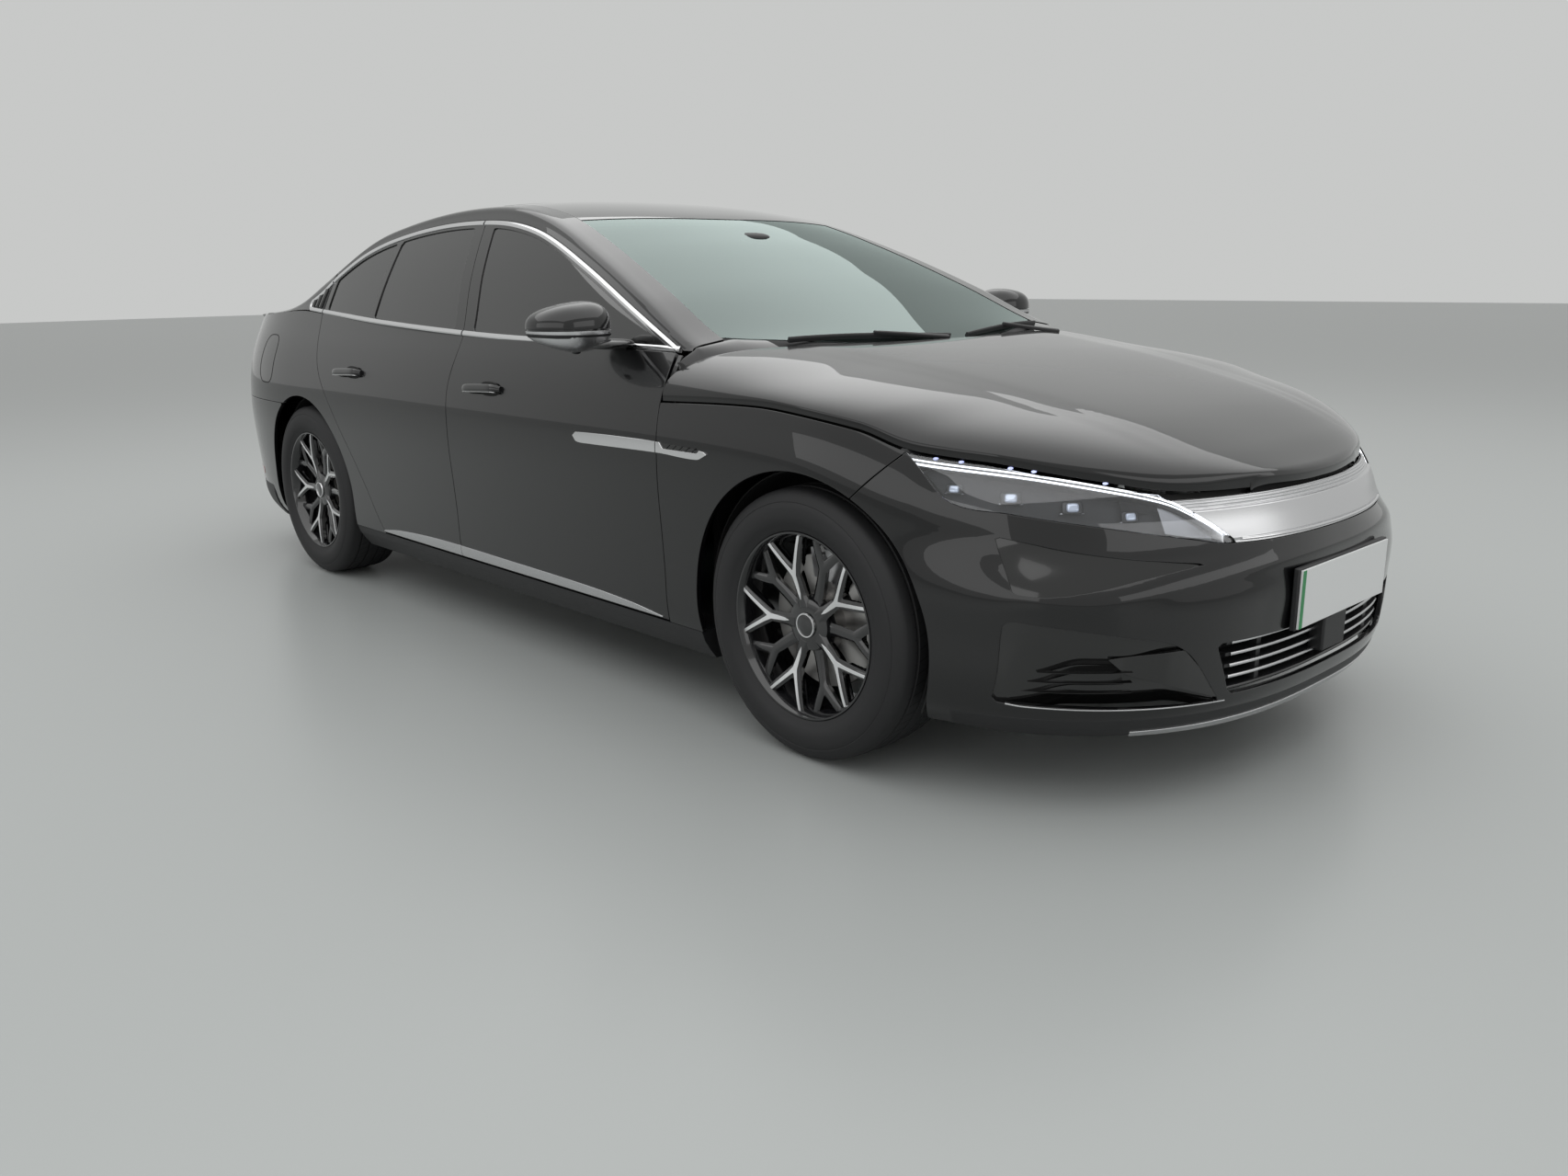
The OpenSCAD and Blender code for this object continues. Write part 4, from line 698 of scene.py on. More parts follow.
glass_front_sheet = window_sheet(-340, window_tip + 20, waist, window_top_z, step=16, rows=16, out=-5).trim(in_glass_front(-9))
glass_rear_sheet = window_sheet(quarter_x, -120, waist, window_top_z, step=16, rows=16, out=-5).trim(in_glass_rear(-9))
quarter_sheet = window_sheet(quarter_x, -830, waist, window_top_z, step=16, rows=16, out=-5).trim(in_quarter_glass(-7))
for i, side in enumerate(("left", "right")):
    front = panel(f"front_door_glass_{side}", glass_front_sheet, glass_dark, doors["front"][i], roll=0.3, depth=4, mirrored=i == 1)
    rear = panel(f"rear_door_glass_{side}", glass_rear_sheet, glass_dark, doors["rear"][i], roll=0.3, depth=4, mirrored=i == 1)
    panel(f"quarter_glass_{side}", quarter_sheet, glass_dark, doors["rear"][i], roll=0.3, depth=4, mirrored=i == 1)
    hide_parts(f"front_glass_{side}")
    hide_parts(f"rear_glass_{side}")
    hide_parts(f"front_door_{side}")
    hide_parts(f"rear_door_{side}")
print("door panels:", len(pieces_made), "pieces so far")

# %% [markdown]
# ## Body sides
# The wings, the rear quarters with the rails, and the roof follow the same surfaces.

# %% Wings and quarters
wing = side_sheet(1019, 1850, sill_top - 6, 900)
wing.trim(fore(door_front_x, gap), lambda s: edge_z(s.x) - gap - s.z, off_arch(axle_f, 2),
          beside((1732, 699), (1846, 808), gap), above(sill_top - 4, 0))
wings = pair("wing", wing, paint, "body", depth=14)

tail_half = 565 * lift
boot_low = bumper_split

def quarter_column(a):
    """One section of the quarter, from the sill up the side and over to the boot's strip."""
    if a < 0:
        x = axle_r - a * 12.0
        z = np.linspace(sill_top - 4, float(belt_z(x)) - 7, 60)
        low = np.stack([np.full_like(z, x), straight_w(x, z), z], 1)
    else:
        x = float(tail_point(a, 900.0)[0])
        z = np.linspace(sill_top - 4, float(belt_z(x)) - 7, 60)
        low = np.stack(tail_point(np.full_like(z, a), z), 1)
    end = low[-1]
    if end[0] < -1990:
        lid_w = curve([(-2450, 540), (-2350, 586), (-2250, 636), (-2130, 666), (-1860, 690)], end[0])
        over = np.array([(end[0], end[1] - 2.5, end[2] + 5), (end[0], end[1] - 9, end[2] + 8),
                         (end[0], mix(end[1] - 9, lid_w + gap, 0.5), end[2] + 9), (end[0], min(lid_w + gap, end[1] - 10), end[2] + 9.5)])
        return np.vstack([even(low, 42), even(np.vstack([low[-1:], over]), 11)[1:]])
    return np.vstack([even(low, 42), np.repeat(low[-1:], 10, 0) + np.linspace(0, 0.5, 10)[:, None] * (0, 0, 1)])

corner_end = 63.0
angles = np.concatenate([np.arange(-58, 0, 1.1), even_angles(tail_point, 700.0, 0.0, corner_end, 13)])
quarter = from_grid(np.stack([quarter_column(a) for a in angles]), middle=(-1400, 0, 700))
lamp_low, lamp_high = 850.0, 900.0
off_boot = lambda s: s.y - tail_half - gap
quarter.trim(behind(rear_rows), off_arch(axle_r, 2), off_boot,
             lambda s: np.maximum(s.z - bumper_split - gap, (s.x - axle_r)),
             outside(both(above(lamp_low, -3), below(lamp_high, -3), aft(-2252))))
quarters = pair("rear_quarter", quarter, paint, "body", depth=13)

def rail_column(x):
    """One section of the roof rail, from the side windows over to the roof or screen."""
    low = float(belt_z(x)) if x < quarter_x else float(window_top_z(x)) + gap
    high = max(float(rail_z(x)), low + 6)
    zs = np.array([low, mix(low, high - 3, 0.5), high - 4])
    side = np.stack([np.full(3, x), window_y(x, zs), zs], 1)
    share = np.array([0.975, 0.93, 0.87])
    ys = share * rail_y(x)
    top = np.stack([np.full(3, x), ys, np.maximum(top_z(x, ys), high - 1)], 1)
    return even(np.vstack([side, top]), 18)

rail_xs = np.concatenate([span(-2160, quarter_x - 0.5, 17), span(quarter_x + 0.5, 1035, 17)])
rail = from_grid(np.stack([rail_column(x) for x in rail_xs]), middle=(-300, 0, 900))
rail.trim(lambda s: s.y - 0.87 * rail_y(s.x) - 1.5)
rails = pair("roof_rail", rail, paint, "body", depth=14, roll=1.2)
for i, side in enumerate(("left", "right")):
    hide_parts(f"body_side_{side}")
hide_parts("fenders")

# %% Roof and screens
def top_sheet(x0, x1, bow0, bow1, out=0.0, inset=1.5, step=22):
    """A sheet between the rails from x0 to x1, with bowed ends."""
    def surface(s, r):
        x = mix(x0 - bow0 * r**2, x1 - bow1 * r**2, s)
        y = r * (0.87 * rail_y(x) - inset)
        return x, y, top_z(x, y) + out
    return Sheet(np.linspace(0, 1, int(abs(x1 - x0) / step) + 2), np.linspace(-1, 1, 49), surface, middle=(-300, 0, 0))

screen_top_x, rear_top_x, screen_base, rear_base = 225.0, -1080.0, 1225.0, -1985.0
roof = panel("roof_skin", top_sheet(screen_top_x - 3, rear_top_x + 3, 70, -70), roof_black, "body", depth=14, roll=1)
screen = panel("windscreen_glass", top_sheet(screen_top_x + 3, screen_base, 70, 205, out=-2), glass_front, "body", depth=5, roll=0.4)
rear_screen = panel("rear_screen_glass", top_sheet(rear_base, rear_top_x - 3, -90, -70, out=-2), glass_dark, "body", depth=5, roll=0.4)
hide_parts("roof_panel")
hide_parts("windscreen")
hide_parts("rear_window")

# %% [markdown]
# ## Bonnet and boot lid

# %% Bonnet
rim = 14.0
bonnet_corner, bonnet_back = 2374.0, 1250.0
back_edge = door_front_x + 6

def bonnet_point(u, r):
    front = nose_x(float(edge_z(float(nose_x(730))))) - 2
    side_x = mix(back_edge, bonnet_corner, u)
    x = mix(mix(bonnet_back, back_edge, r**2), mix(front, bonnet_corner, np.abs(r) ** 2.2), u)
    e_here = mix(edge_z(x), edge_z(side_x), np.abs(r))
    w = side_y(side_x, edge_z(side_x) + rim)
    rise = np.maximum(crown_z(x) - e_here - rim, 6)
    full = 3 + 3.5 * ease((1500 - x) / 450)
    z = e_here + gap + rim + rise * np.sqrt(np.maximum(1 - np.abs(r) ** full, 0))
    # The raised middle, and the ridge on each side of it that runs from the pillar to the lamp
    y = r * w
    ridge_y = curve([(1000, 640), (1300, 610), (1700, 560), (2100, 500), (2400, 430)], x)
    fade = ease((x - 1080) / 250) * ease((2360 - x) / 260)
    z = z + fade * (5 * ease((ridge_y - np.abs(y)) / 60) - 3 * np.exp(-((np.abs(y) - ridge_y + 62) / 34) ** 2))
    return x, y, z

us = np.linspace(0, 1, 66)
rs = np.sin(np.linspace(-math.pi / 2, math.pi / 2, 91))
us2, rs2 = np.meshgrid(us, rs, indexing="ij")
grid = np.stack(bonnet_point(us2, rs2), -1)
edge = grid[:, [0, -1]].copy()
edge[..., 2] = edge[..., 2] - rim + 0.8
mid = mix(grid[:, [0, -1]], edge, 0.5)
grid = np.concatenate([edge[:, :1], mid[:, :1], grid, mid[:, 1:], edge[:, 1:]], 1)
lip = grid[-1:].copy()
lip[..., 0] += 1.0
lip[..., 2] -= rim * (1 - np.minimum(1, (np.abs(lip[..., 1]) / 470) ** 8)) * 1.85
grid = np.concatenate([grid, mix(grid[-1:], lip, 0.5) + (1.5, 0, 1), lip], 0)
bonnet = panel("bonnet_skin", from_grid(grid, middle=(1700, 0, 300)), paint, "bonnet", depth=13, roll=0.8)
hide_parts("bonnet")

# %% Boot lid
lip_z = 1031.0
def boot_column(r):
    s = np.linspace(0, 0.96, 14)
    w_tail = r * tail_half
    x1 = float(axle_r - (axle_r - tail_x(lip_z)) * (1 - min(abs(w_tail) / float(straight_w(axle_r, lip_z)), 1) ** tail_power) ** (1 / tail_power))
    x0 = rear_base + 90 * r**2 - 2 * shut_gap
    x = mix(x0, x1, s)
    lid_w = curve([(-2450, 540), (-2350, 586), (-2250, 636), (-2130, 666), (-1860, 690)], x)
    y = r * np.minimum(lid_w - gap, mix(1000, tail_half - gap + 2, ease((s - 0.5) * 2)))
    z = np.maximum(top_z(x, y), belt_z(x)) - 3 + 2 * ease((s - 0.4) / 0.6)
    deck = np.stack([x, y, z], 1)
    zs = np.array([lip_z, 1005, 970, 910, 840, 780, boot_low + gap])
    ys = np.full_like(zs, r * (tail_half - gap))
    xs = axle_r - (axle_r - tail_x(zs)) * (1 - np.minimum(np.abs(ys) / straight_w(axle_r, zs), 1) ** tail_power) ** (1 / tail_power)
    return np.vstack([even(deck, 26), even(np.vstack([deck[-1:], np.stack([xs, ys, zs], 1)]), 30)[1:]])

boot = from_grid(np.stack([boot_column(r) for r in np.sin(np.linspace(-math.pi / 2, math.pi / 2, 55))]), middle=(-1900, 0, 850))
boot = panel("boot_skin", boot, paint, "boot_lid", depth=12, roll=0.8)
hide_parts("boot_lid")

# %% [markdown]
# ## Bumpers
# The nose is one sheet round the front, trimmed by the lamps, the bar, the grille and the side intakes.

# %% Front bumper
grille_w, grille_low, grille_high = 860.0, 262.0, 392.0
def nose_sheet(a0, a1, low, high, rows=40, step=13, out=0.0):
    """A sheet round the nose between two heights that depend on the angle."""
    angles = even_angles(nose_point, 500.0, a0, a1, step)
    def surface(a, t):
        turned_a = np.minimum(a, 180 - a)
        z = mix(low(turned_a), high(turned_a), t)
        return nose_point(a, z)
    sheet = Sheet(angles, np.linspace(0, 1, rows), surface, middle=(1500, 0, 450))
    return sheet.pushed(out) if out else sheet

def bumper_high(a): return curve(bumper_top, a) - 1.5
intake_rows_top = [(400, 242), (440, 250), (548, 386), (662, 424), (832, 458)]
def intake_field(by=0):
    """The side intake seen from the front: under a pointed blade, above the lip."""
    return lambda s: rounded(14, lambda q: curve(intake_rows_top, np.abs(q.y)) - by - q.z,
                             lambda q: q.z - curve([(430, 244), (838, 262)], np.abs(q.y)) - by,
                             lambda q: np.abs(q.y) - 440 - by, lambda q: 842 - by - np.abs(q.y))(s)
def grille_field(by=0):
    return rounded(16, lambda q: q.z - grille_low - by, lambda q: grille_high - by - q.z,
                   lambda q: grille_w / 2 - 8 + 0.4 * (q.z - grille_low) - by - np.abs(q.y))

def turned_in(s):
    """The angle round the nose, folded to one side."""
    return np.minimum(s.q[:, 0], 180 - s.q[:, 0])

# The glossy wedge across each side of the bumper
wedge_top = [(30, 645), (33.2, 635), (47, 599), (61.1, 577), (70, 568)]
wedge_low = [(30, 522), (33, 516), (38, 514), (45, 527), (52, 547), (58, 561), (64, 573)]
def wedge_field(by=0):
    return rounded(5, lambda s: curve(wedge_top, turned_in(s)) - s.z - by, lambda s: s.z - curve(wedge_low, turned_in(s)) - by,
                   lambda s: (turned_in(s) - 32.0) * 13 - by)

bumper = nose_sheet(7, 173, lambda a: sill_low + 14 + 0 * a, bumper_high, rows=46, step=15)
nose_line_edge = lambda s: np.where(s.z > 690, -beside((1732, 699), (1846, 808), -gap)(s), 60.0)
crest = curve([(30, 500), (33, 508), (45, 505), (60, 545), (75, 560), (90, 556)], turned_in(bumper))
bulge = 5 * np.exp(-((bumper.z - crest) / 26) ** 2) * ease((turned_in(bumper) - 28) / 8)
bumper = bumper.pushed(bulge - 5 * ease((turned_in(bumper) - 28) / 8) * ease((bumper.z - crest - 20) / 60) * ease((640 - bumper.z) / 60)).shaped()
bumper.trim(off_arch(axle_f, 2), nose_line_edge, fore(axle_f + 60), outside(intake_field()), outside(grille_field()),
            outside(wedge_field()))
bumper = panel("front_bumper_skin", bumper, paint, "body", depth=13)
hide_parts("front_bumper")

# %% Rear bumper
angles = even_angles(tail_point, 500.0, 3.0, 177.0, 20)
rear_bumper = Sheet(angles, span(sill_low + 30, bumper_split - gap, 20), tail_point, middle=(-1500, 0, 450))
rear_bumper.trim(off_arch(axle_r, 2), aft(axle_r - 60))
rear_bumper = panel("rear_bumper_skin", rear_bumper, paint, "body", depth=13)
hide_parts("rear_bumper")
print("panels done:", len(pieces_made))

# %% [markdown]
# ## Wheels
# A tyre with ribs and blocks, a black rim, five bright Y spokes with five black ones between them, a
# brake disc, and a plain cap. Everything turns with its wheel.

# %% Tyres
wheels = {"front_left": (axle_f, 1), "front_right": (axle_f, -1), "rear_left": (axle_r, 1), "rear_right": (axle_r, -1)}
half_t = tyre_w / 2
bead = 241.5
grooves, groove_w, groove_d = (-62.0, -22.0, 22.0, 62.0), 8.0, 7.0

def tread_r(o):
    """Radius of the tread at an offset from the tyre's middle."""
    return tyre_r - 3.5 * (np.abs(o) / 80) ** 2.6

def tyre_section():
    crown = []
    for g in grooves:
        crown += [(g - groove_w / 2 - 0.8, 0), (g - groove_w / 2, -1), (g - groove_w / 2 + 1, -groove_d),
                  (g + groove_w / 2 - 1, -groove_d), (g + groove_w / 2, -1), (g + groove_w / 2 + 0.8, 0)]
    crown = [(float(tread_r(o)) + d, o) for o, d in [(-92, 0)] + crown + [(92, 0)]]
    side = [(tyre_r - 9, 103), (tyre_r - 20, 112), (tyre_r - 34, 117.5), (tyre_r - 36, 116.8), (tyre_r - 38, 118.6),
            (tyre_r - 52, half_t - 1), (tyre_r - 70, half_t), (bead + 22, half_t - 4), (bead + 20, half_t - 5.5),
            (bead + 9, half_t - 10), (bead + 1, half_t - 15), (bead - 1, half_t - 24)]
    return [(r, -o) for r, o in side[::-1]] + crown + side

def block_cuts(x, side, body):
    """Thin cross cuts in the shoulder ribs of the tread, as flat dark slits: painted shade where the cuts are."""
    points, faces = [], []
    for lane, (o0, o1) in enumerate(((67, 98), (-98, -67), (27, 57), (-57, -27))):
        for i in range(72):
            a = math.radians(5 * i + 1.3 * lane)
            slant = 0.012 if lane < 2 else 0.03
            start = len(points)
            for o, turn in ((o0, 0), (o1, slant * (1 if lane % 2 else -1))):
                for half in (-1, 1):
                    r = float(tread_r(o)) + 0.35 - (3.4 if abs(o) > 95 else 0)
                    t = a + turn + half * 0.0042
                    points.append((x + r * math.cos(t), side * (wheel_y + o), (wheel_z + r * math.sin(t)) / lift))
            f = (start, start + 1, start + 3, start + 2)
            faces.append(f if side > 0 else f[::-1])
    return points, faces

# %% Rim and spokes
first_y, part = math.pi, math.radians(72)
rim_edge = 231.0

def face_out(r):
    return 84 + 13 * ease((r - 70) / 150)

def y_distance(s, centre, split, spread, hub=62.0):
    """Distance from the middle line of a Y, and how far out along it."""
    r, a = s.q[:, 0], s.q[:, 1]
    turn = (a - centre + math.pi) % (2 * math.pi) - math.pi
    u, v = r * np.cos(turn), np.abs(r * np.sin(turn))
    end = np.array([rim_edge * math.cos(spread), rim_edge * math.sin(spread)])
    def to_line(p, q):
        d = np.array(q) - p
        t = np.clip(((u - p[0]) * d[0] + (v - p[1]) * d[1]) / (d @ d), 0, 1)
        return np.hypot(u - p[0] - t * d[0], v - p[1] - t * d[1])
    return np.minimum(to_line((hub, 0), (split, 0)), to_line((split, 0), end)), u

def spoke(centre, split, spread, half, drop, slope):
    """Black body of a Y: a flat ridge with sloping flanks."""
    wide = spread + math.radians(9)
    s = Sheet(np.linspace(46, rim_edge + 2, 31), np.linspace(centre - 1.25 * wide - 0.12, centre + 1.25 * wide + 0.12, 44),
              lambda r, a: (r * np.cos(a), 0 * r, r * np.sin(a) / lift), middle=(0, -1000, 0))
    d, u = y_distance(s, centre, split, spread, 40)
    flank = np.maximum(d - half(u) * 0.5, 0)
    s.p[:, 1] = face_out(s.q[:, 0]) - drop - slope * flank
    s.shaped()
    s.trim(lambda t: np.interp(t.q[:, 0], [46, 75, 150, 231], [30, 16, 13, 10.5]) - y_distance(t, centre, split, spread, 40)[0])
    return s

def bright_face(centre):
    half = lambda u: np.interp(u, [66, 80, 128, 150, 231], [0.2, 3.8, 7.0, 4.4, 3.4])
    s = Sheet(np.linspace(60, rim_edge, 44), np.linspace(centre - 0.42, centre + 0.42, 70),
              lambda r, a: (r * np.cos(a), face_out(r) + 1.2, r * np.sin(a) / lift), middle=(0, -1000, 0))
    return s.trim(lambda t: half(y_distance(t, centre, 130, math.radians(14.5), 62)[1])
                  - y_distance(t, centre, 130, math.radians(14.5), 62)[0])

def black_half(u): return np.interp(u, [46, 75, 150, 231], [24, 13, 10, 8])
rim_parts = []
for k in range(5):
    bright, black = first_y + k * part, first_y + (k + 0.5) * part
    rim_parts.append((spoke(bright, 130, math.radians(14.5), black_half, 0.0, 0.55), alloy_black, 34))
    rim_parts.append((spoke(black, 158, math.radians(11.5), black_half, 12.0, 0.5), alloy_black, 24))
    rim_parts.append((bright_face(bright), alloy_bright, 1.0))

def joined(parts):
    """Several rolled sheets as one set of points, faces and normals."""
    points, faces, normals, start = [], [], [], 0
    for sheet, depth in parts:
        p, f, n = rolled(sheet, min(1.4, depth * 0.5), depth, True)
        points.append(p)
        normals.append(n)
        faces += [tuple(i + start for i in g) for g in f]
        start += len(p)
    return np.vstack(points), faces, np.vstack(normals)

rim_black = joined([(s, d) for s, m, d in rim_parts if m is alloy_black])
rim_bright = joined([(s, d) for s, m, d in rim_parts if m is alloy_bright])
barrel = [(bead, 106), (bead - 1.5, 109), (bead - 6, 109), (rim_edge - 2, 100), (rim_edge - 6, 88), (bead - 24, 66), (bead - 30, 0),
          (bead - 26, -70), (bead - 10, -108), (bead, -108), (bead, -88), (bead - 13, -76), (bead - 20, 0), (bead - 12, 74), (bead, 86)]
hub = [(0, 70), (0, 90), (27, 90), (31, 88), (33, 84), (54, 82), (66, 78), (70, 70), (72, 50), (30, 46)]
cap_ring = [(27.5, 88), (28.2, 91.2), (30.8, 91.2), (32, 88)]
disc = [(68, 52), (74, 52), (76, 22), (172, 20), (174, 18), (174, -6), (172, -8), (76, -8), (68, 0)]

for name, (x, side) in wheels.items():
    body, centre = f"wheel_{name}", (x, side * wheel_y, wheel_z)
    tyre = turned(f"tyre_{name}_dressed", tyre_section(), centre, rubber, body, steps=108, side=side, angle=32)
    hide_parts(f"tyre_{name}")
    # The tread's cuts are flat dark slits on the tread: painted shade.
    link(f"tread_cut_painted_shade_{name}", *block_cuts(x, side, body), black_trim_and_painted_shade, body)
    whole = turned(f"rim_barrel_{name}", barrel, centre, alloy_black, body, steps=120, side=side)
    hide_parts(f"rim_{name}")
    move = lambda p: np.asarray(p) * (1, side, 1) + (x, side * wheel_y, wheel_z / lift)
    for piece, (points, faces, normals), finish in (("black_spokes", rim_black, alloy_black), ("bright_spokes", rim_bright, alloy_bright)):
        faces_here = faces if side > 0 else [f[::-1] for f in faces]
        link(f"{piece}_{name}", move(points), faces_here, finish, body, normals=normals * (1, side, 1))
    turned(f"hub_{name}", hub, centre, alloy_black, body, steps=48, side=side)
    turned(f"cap_ring_{name}", cap_ring, centre, alloy_bright, body, steps=48, side=side)
    turned(f"brake_disc_{name}", disc, centre, iron, body, steps=72, side=side)
    for k in range(5):
        middle = 180 + 36 + 72 * k
        turned(f"rim_arc_{k}_{name}", [(rim_edge - 1, 101), (rim_edge + 0.5, 103.2), (rim_edge + 4.5, 107.2), (rim_edge + 5, 104)], centre,
               alloy_bright, body, steps=16, side=side, start=middle - 11, stop=middle + 11)
print("wheels done:", len(pieces_made), "pieces")

# %% [markdown]
# ## The front
# Glossy wedges, side intakes with a pointed blade, the slatted grille, the lip, the plate and its
# holder, then the silver bar and the headlamps.

# %% Wedges, intakes, grille and lip
def both_sides(name, sheet_of, material, **how):
    """One sheet round the nose for each side."""
    return pair(name, sheet_of(), material, "body", **how)

def drl_line(a): return curve([(18, 798), (21, 790), (37.2, 766), (50, 735), (58.6, 704), (63, 668), (67.5, 618)], a)

wedge = nose_sheet(28, 72, lambda a: 505 + 0 * a, lambda a: 655 + 0 * a, rows=28, step=12)
wedge = wedge.pushed(-6).trim(wedge_field(-7))
pair("gloss_wedge", wedge, gloss_black, "body", depth=5, roll=0.5)

def intake_depth(s):
    """The intake is hollowed in its middle and shallow at its rim."""
    y, z = np.abs(s.y), s.z
    up = (z - 250) / np.maximum(curve(intake_rows_top, y) - 250, 30)
    return -10 - 40 * ease((1.1 - up) / 0.8) * ease((850 - y) / 120) * ease((y - 440) / 120)

intake = nose_sheet(18, 74, lambda a: 236 + 0 * a, lambda a: 480 + 0 * a, rows=36, step=12)
intake = intake.pushed(intake_depth(intake)).shaped().trim(
    lambda q: curve(intake_rows_top, np.abs(q.y)) + 16 - q.z, lambda q: np.abs(q.y) - 420, lambda q: 856 - np.abs(q.y))
pair("side_intake", intake, gloss_black, "body", depth=4, roll=0.5)

blade_corners = ((436, 257), (549, 386), (672, 366), (640, 330))
def blade_field(s):
    y, z, low = np.abs(s.y), s.z, []
    for (y0, z0), (y1, z1) in zip(blade_corners, blade_corners[1:] + blade_corners[:1]):
        low.append(((z - z0) * (y1 - y0) - (y - y0) * (z1 - z0)) / math.hypot(y1 - y0, z1 - z0))
    return -np.maximum.reduce(low)
blade = nose_sheet(40, 74, lambda a: 240 + 0 * a, lambda a: 400 + 0 * a, rows=60, step=5)
blade = blade.pushed(-1.5 - 26 * ease((np.abs(blade.y) - 540) / 130)).shaped().trim(blade_field)
pair("intake_blade", blade, gloss_black, "body", depth=26, roll=1.0)

for i, z in enumerate((288.0, 312.0, 336.0)):
    a = np.linspace(33 + 1.5 * i, 52, 30)
    path, normal = end_points(nose_point, a, z, -30)
    strip(f"intake_fin_{i}", path, normal, 3.0, 12, gloss_black, "body")

a = np.linspace(31, 68.5, 60)
path, normal = end_points(nose_point, a, curve([(31, 262), (34, 258), (68.5, 250)], a), -2)
strip("intake_edge", path, normal, 4.0, 3.0, silver, "body")

# A dark sheet behind the grille slats: painted shade in the grille's hollow.
shade_sheet_behind_grille = nose_sheet(60, 120, lambda a: 232 + 0 * a, lambda a: 420 + 0 * a, rows=20, step=20).pushed(-75)
panel("shade_sheet_behind_grille", shade_sheet_behind_grille.trim(lambda q: 500 - np.abs(q.y)), black_trim_and_painted_shade, "body", depth=3, roll=0.3)
for i in range(5):
    z = (grille_low * lift + 6 + i * ((grille_high - grille_low) * lift - 20) / 4 + 4) / lift
    ys = np.linspace(-(grille_w / 2 - 22), grille_w / 2 - 22, 60)
    n = 2.6
    x = nose_x(z) - (nose_x(z) - axle_f) * (1 - (1 - (np.abs(ys) / half_w) ** n) ** (1 / n)) - 21
    path = np.stack([x, ys, np.full_like(ys, z)], 1)
    normal = np.gradient(path, axis=0)[:, [1, 0, 2]] * (1, -1, 0)
    normal /= np.linalg.norm(normal, axis=1, keepdims=True)
    points, faces = swept(path, normal, crowned(7.6, 2.2, 1.0))
    link(f"grille_edge_{i}", points, faces, silver if i else gloss_black, "body")

lip = nose_sheet(22, 158, lambda a: sill_low + 12 + 0 * a, lambda a: 226 + 0 * a, rows=9, step=16)
lip = lip.pushed(5 * ease((232 - lip.z) / 30) * ease((turned_in(lip) - 22) / 10)).shaped()
panel("front_lip", lip, satin_black, "body", depth=8, roll=2.0)
lip = nose_sheet(52, 128, lambda a: sill_low + 12 + 0 * a, lambda a: 204 - 8 * (90 - a) / 38, rows=10, step=12)
panel("lip_insert", lip.pushed(8.0), silver, "body", depth=3, roll=1.2)

# %% Plate and its holder
plate_x, plate_z = length / 2, 461.0
slab("plate_holder", (plate_x - 22, -246, plate_z - 74), (plate_x - 8, 246, plate_z + 74), satin_black, "body", soft=3)
slab("plate_blank", (plate_x - 7.5, -240, plate_z - 70), (plate_x - 2, 240, plate_z + 70), plate_white, "body", soft=1)
slab("plate_edge", (plate_x - 2, -239, plate_z - 69), (plate_x - 0.8, -224, plate_z + 69), plate_green, "body")
slab("sensor_box", (2440, -62, 296), (2482, 62, 384), satin_black, "body", soft=6)

# %% Silver bar
bar = nose_sheet(56, 124, lambda a: curve(bumper_top, a) + 2, lambda a: 711 - gap + 0 * a, rows=64, step=13)
def bar_relief(s):
    down = 711 - s.z
    ribs = 1.8 * np.sin(np.clip(down - 3, 0, 24) / 24 * 4 * 2 * math.pi - math.pi / 2) * (down < 27)
    return mix(-7.0 + ribs, 0.5, ease((down - 25) / 7)) - 4 * ease((618 - s.z) / 5)
def bar_inner(by=0):
    return lambda s: (turned_in(s) - curve([(600, 68.6), (618, 67.6), (668, 63.4), (704, 59.4), (715, 58.0)], s.z)) * 17 - by
bar = bar.pushed(bar_relief(bar)).shaped().trim(bar_inner(5))
bar = panel("silver_bar", bar, silver, "body", depth=10, roll=0.8)
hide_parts("front_light_bar")
# A dark sheet behind the silver bar: painted shade in the gap round the bar.
shade_sheet_behind_bar = nose_sheet(52, 128, lambda a: 690 + 0 * a, lambda a: 726 + 0 * a, rows=8).pushed(-24)
panel("bar_painted_shade", shade_sheet_behind_bar, black_trim_and_painted_shade, "body", depth=3, roll=0.3)
a = np.linspace(69.3, 110.7, 90)
path, normal = end_points(nose_point, a, curve(bumper_top, np.minimum(a, 180 - a)) + 8, 0.5)
points, faces = swept(path, normal, crowned(7.0, 2.6, 3.0))
link("bar_lower_line", points, faces, chrome, "body")

# %% Headlamps
def lamp_field(by=0):
    """The lamp's opening: under the bonnet, above the bumper, up to the silver bar."""
    return both(lambda s: s.z - curve(bumper_top, turned_in(s)) - by, lambda s: edge_z(s.x) - gap - by - s.z,
                lambda s: -(bar_inner(-3)(s)) - by, lambda s: (turned_in(s) - 19.3) * 16 - by)

def lamp_sheet(out, a0=18, a1=70, rows=32, step=10):
    return nose_sheet(a0, a1, lambda a: curve(bumper_top, a) - 6, lambda a: np.maximum(edge_z(nose_point(a, 780.0)[0]), 706) + 8,
                      rows=rows, step=step).pushed(out)

back = lamp_sheet(0)
back = back.pushed(-36 * ease((back.q[:, 0] - 19) / 4)).shaped().trim(lamp_field(-5))
backs = pair("lamp_housing", back, satin_black, "body", depth=4, roll=0.4)
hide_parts("headlamps")
pair("lamp_cover", lamp_sheet(-0.5).trim(lamp_field(1.5)), lamp_cover, "body", depth=3, roll=0.3)

def on_nose(name, a, low, high, out0, out1, material, body="body"):
    """A shelf between two depths along a line on the nose."""
    p0, _ = end_points(nose_point, a, low, out0)
    p1, _ = end_points(nose_point, a, high, out1)
    grid = np.stack([mix(p0, p1, t) for t in (0, 0.5, 1)], 1)
    pair(name, from_grid(grid, middle=(1500, 0, 450)), material, body, depth=2.5, roll=0.3)

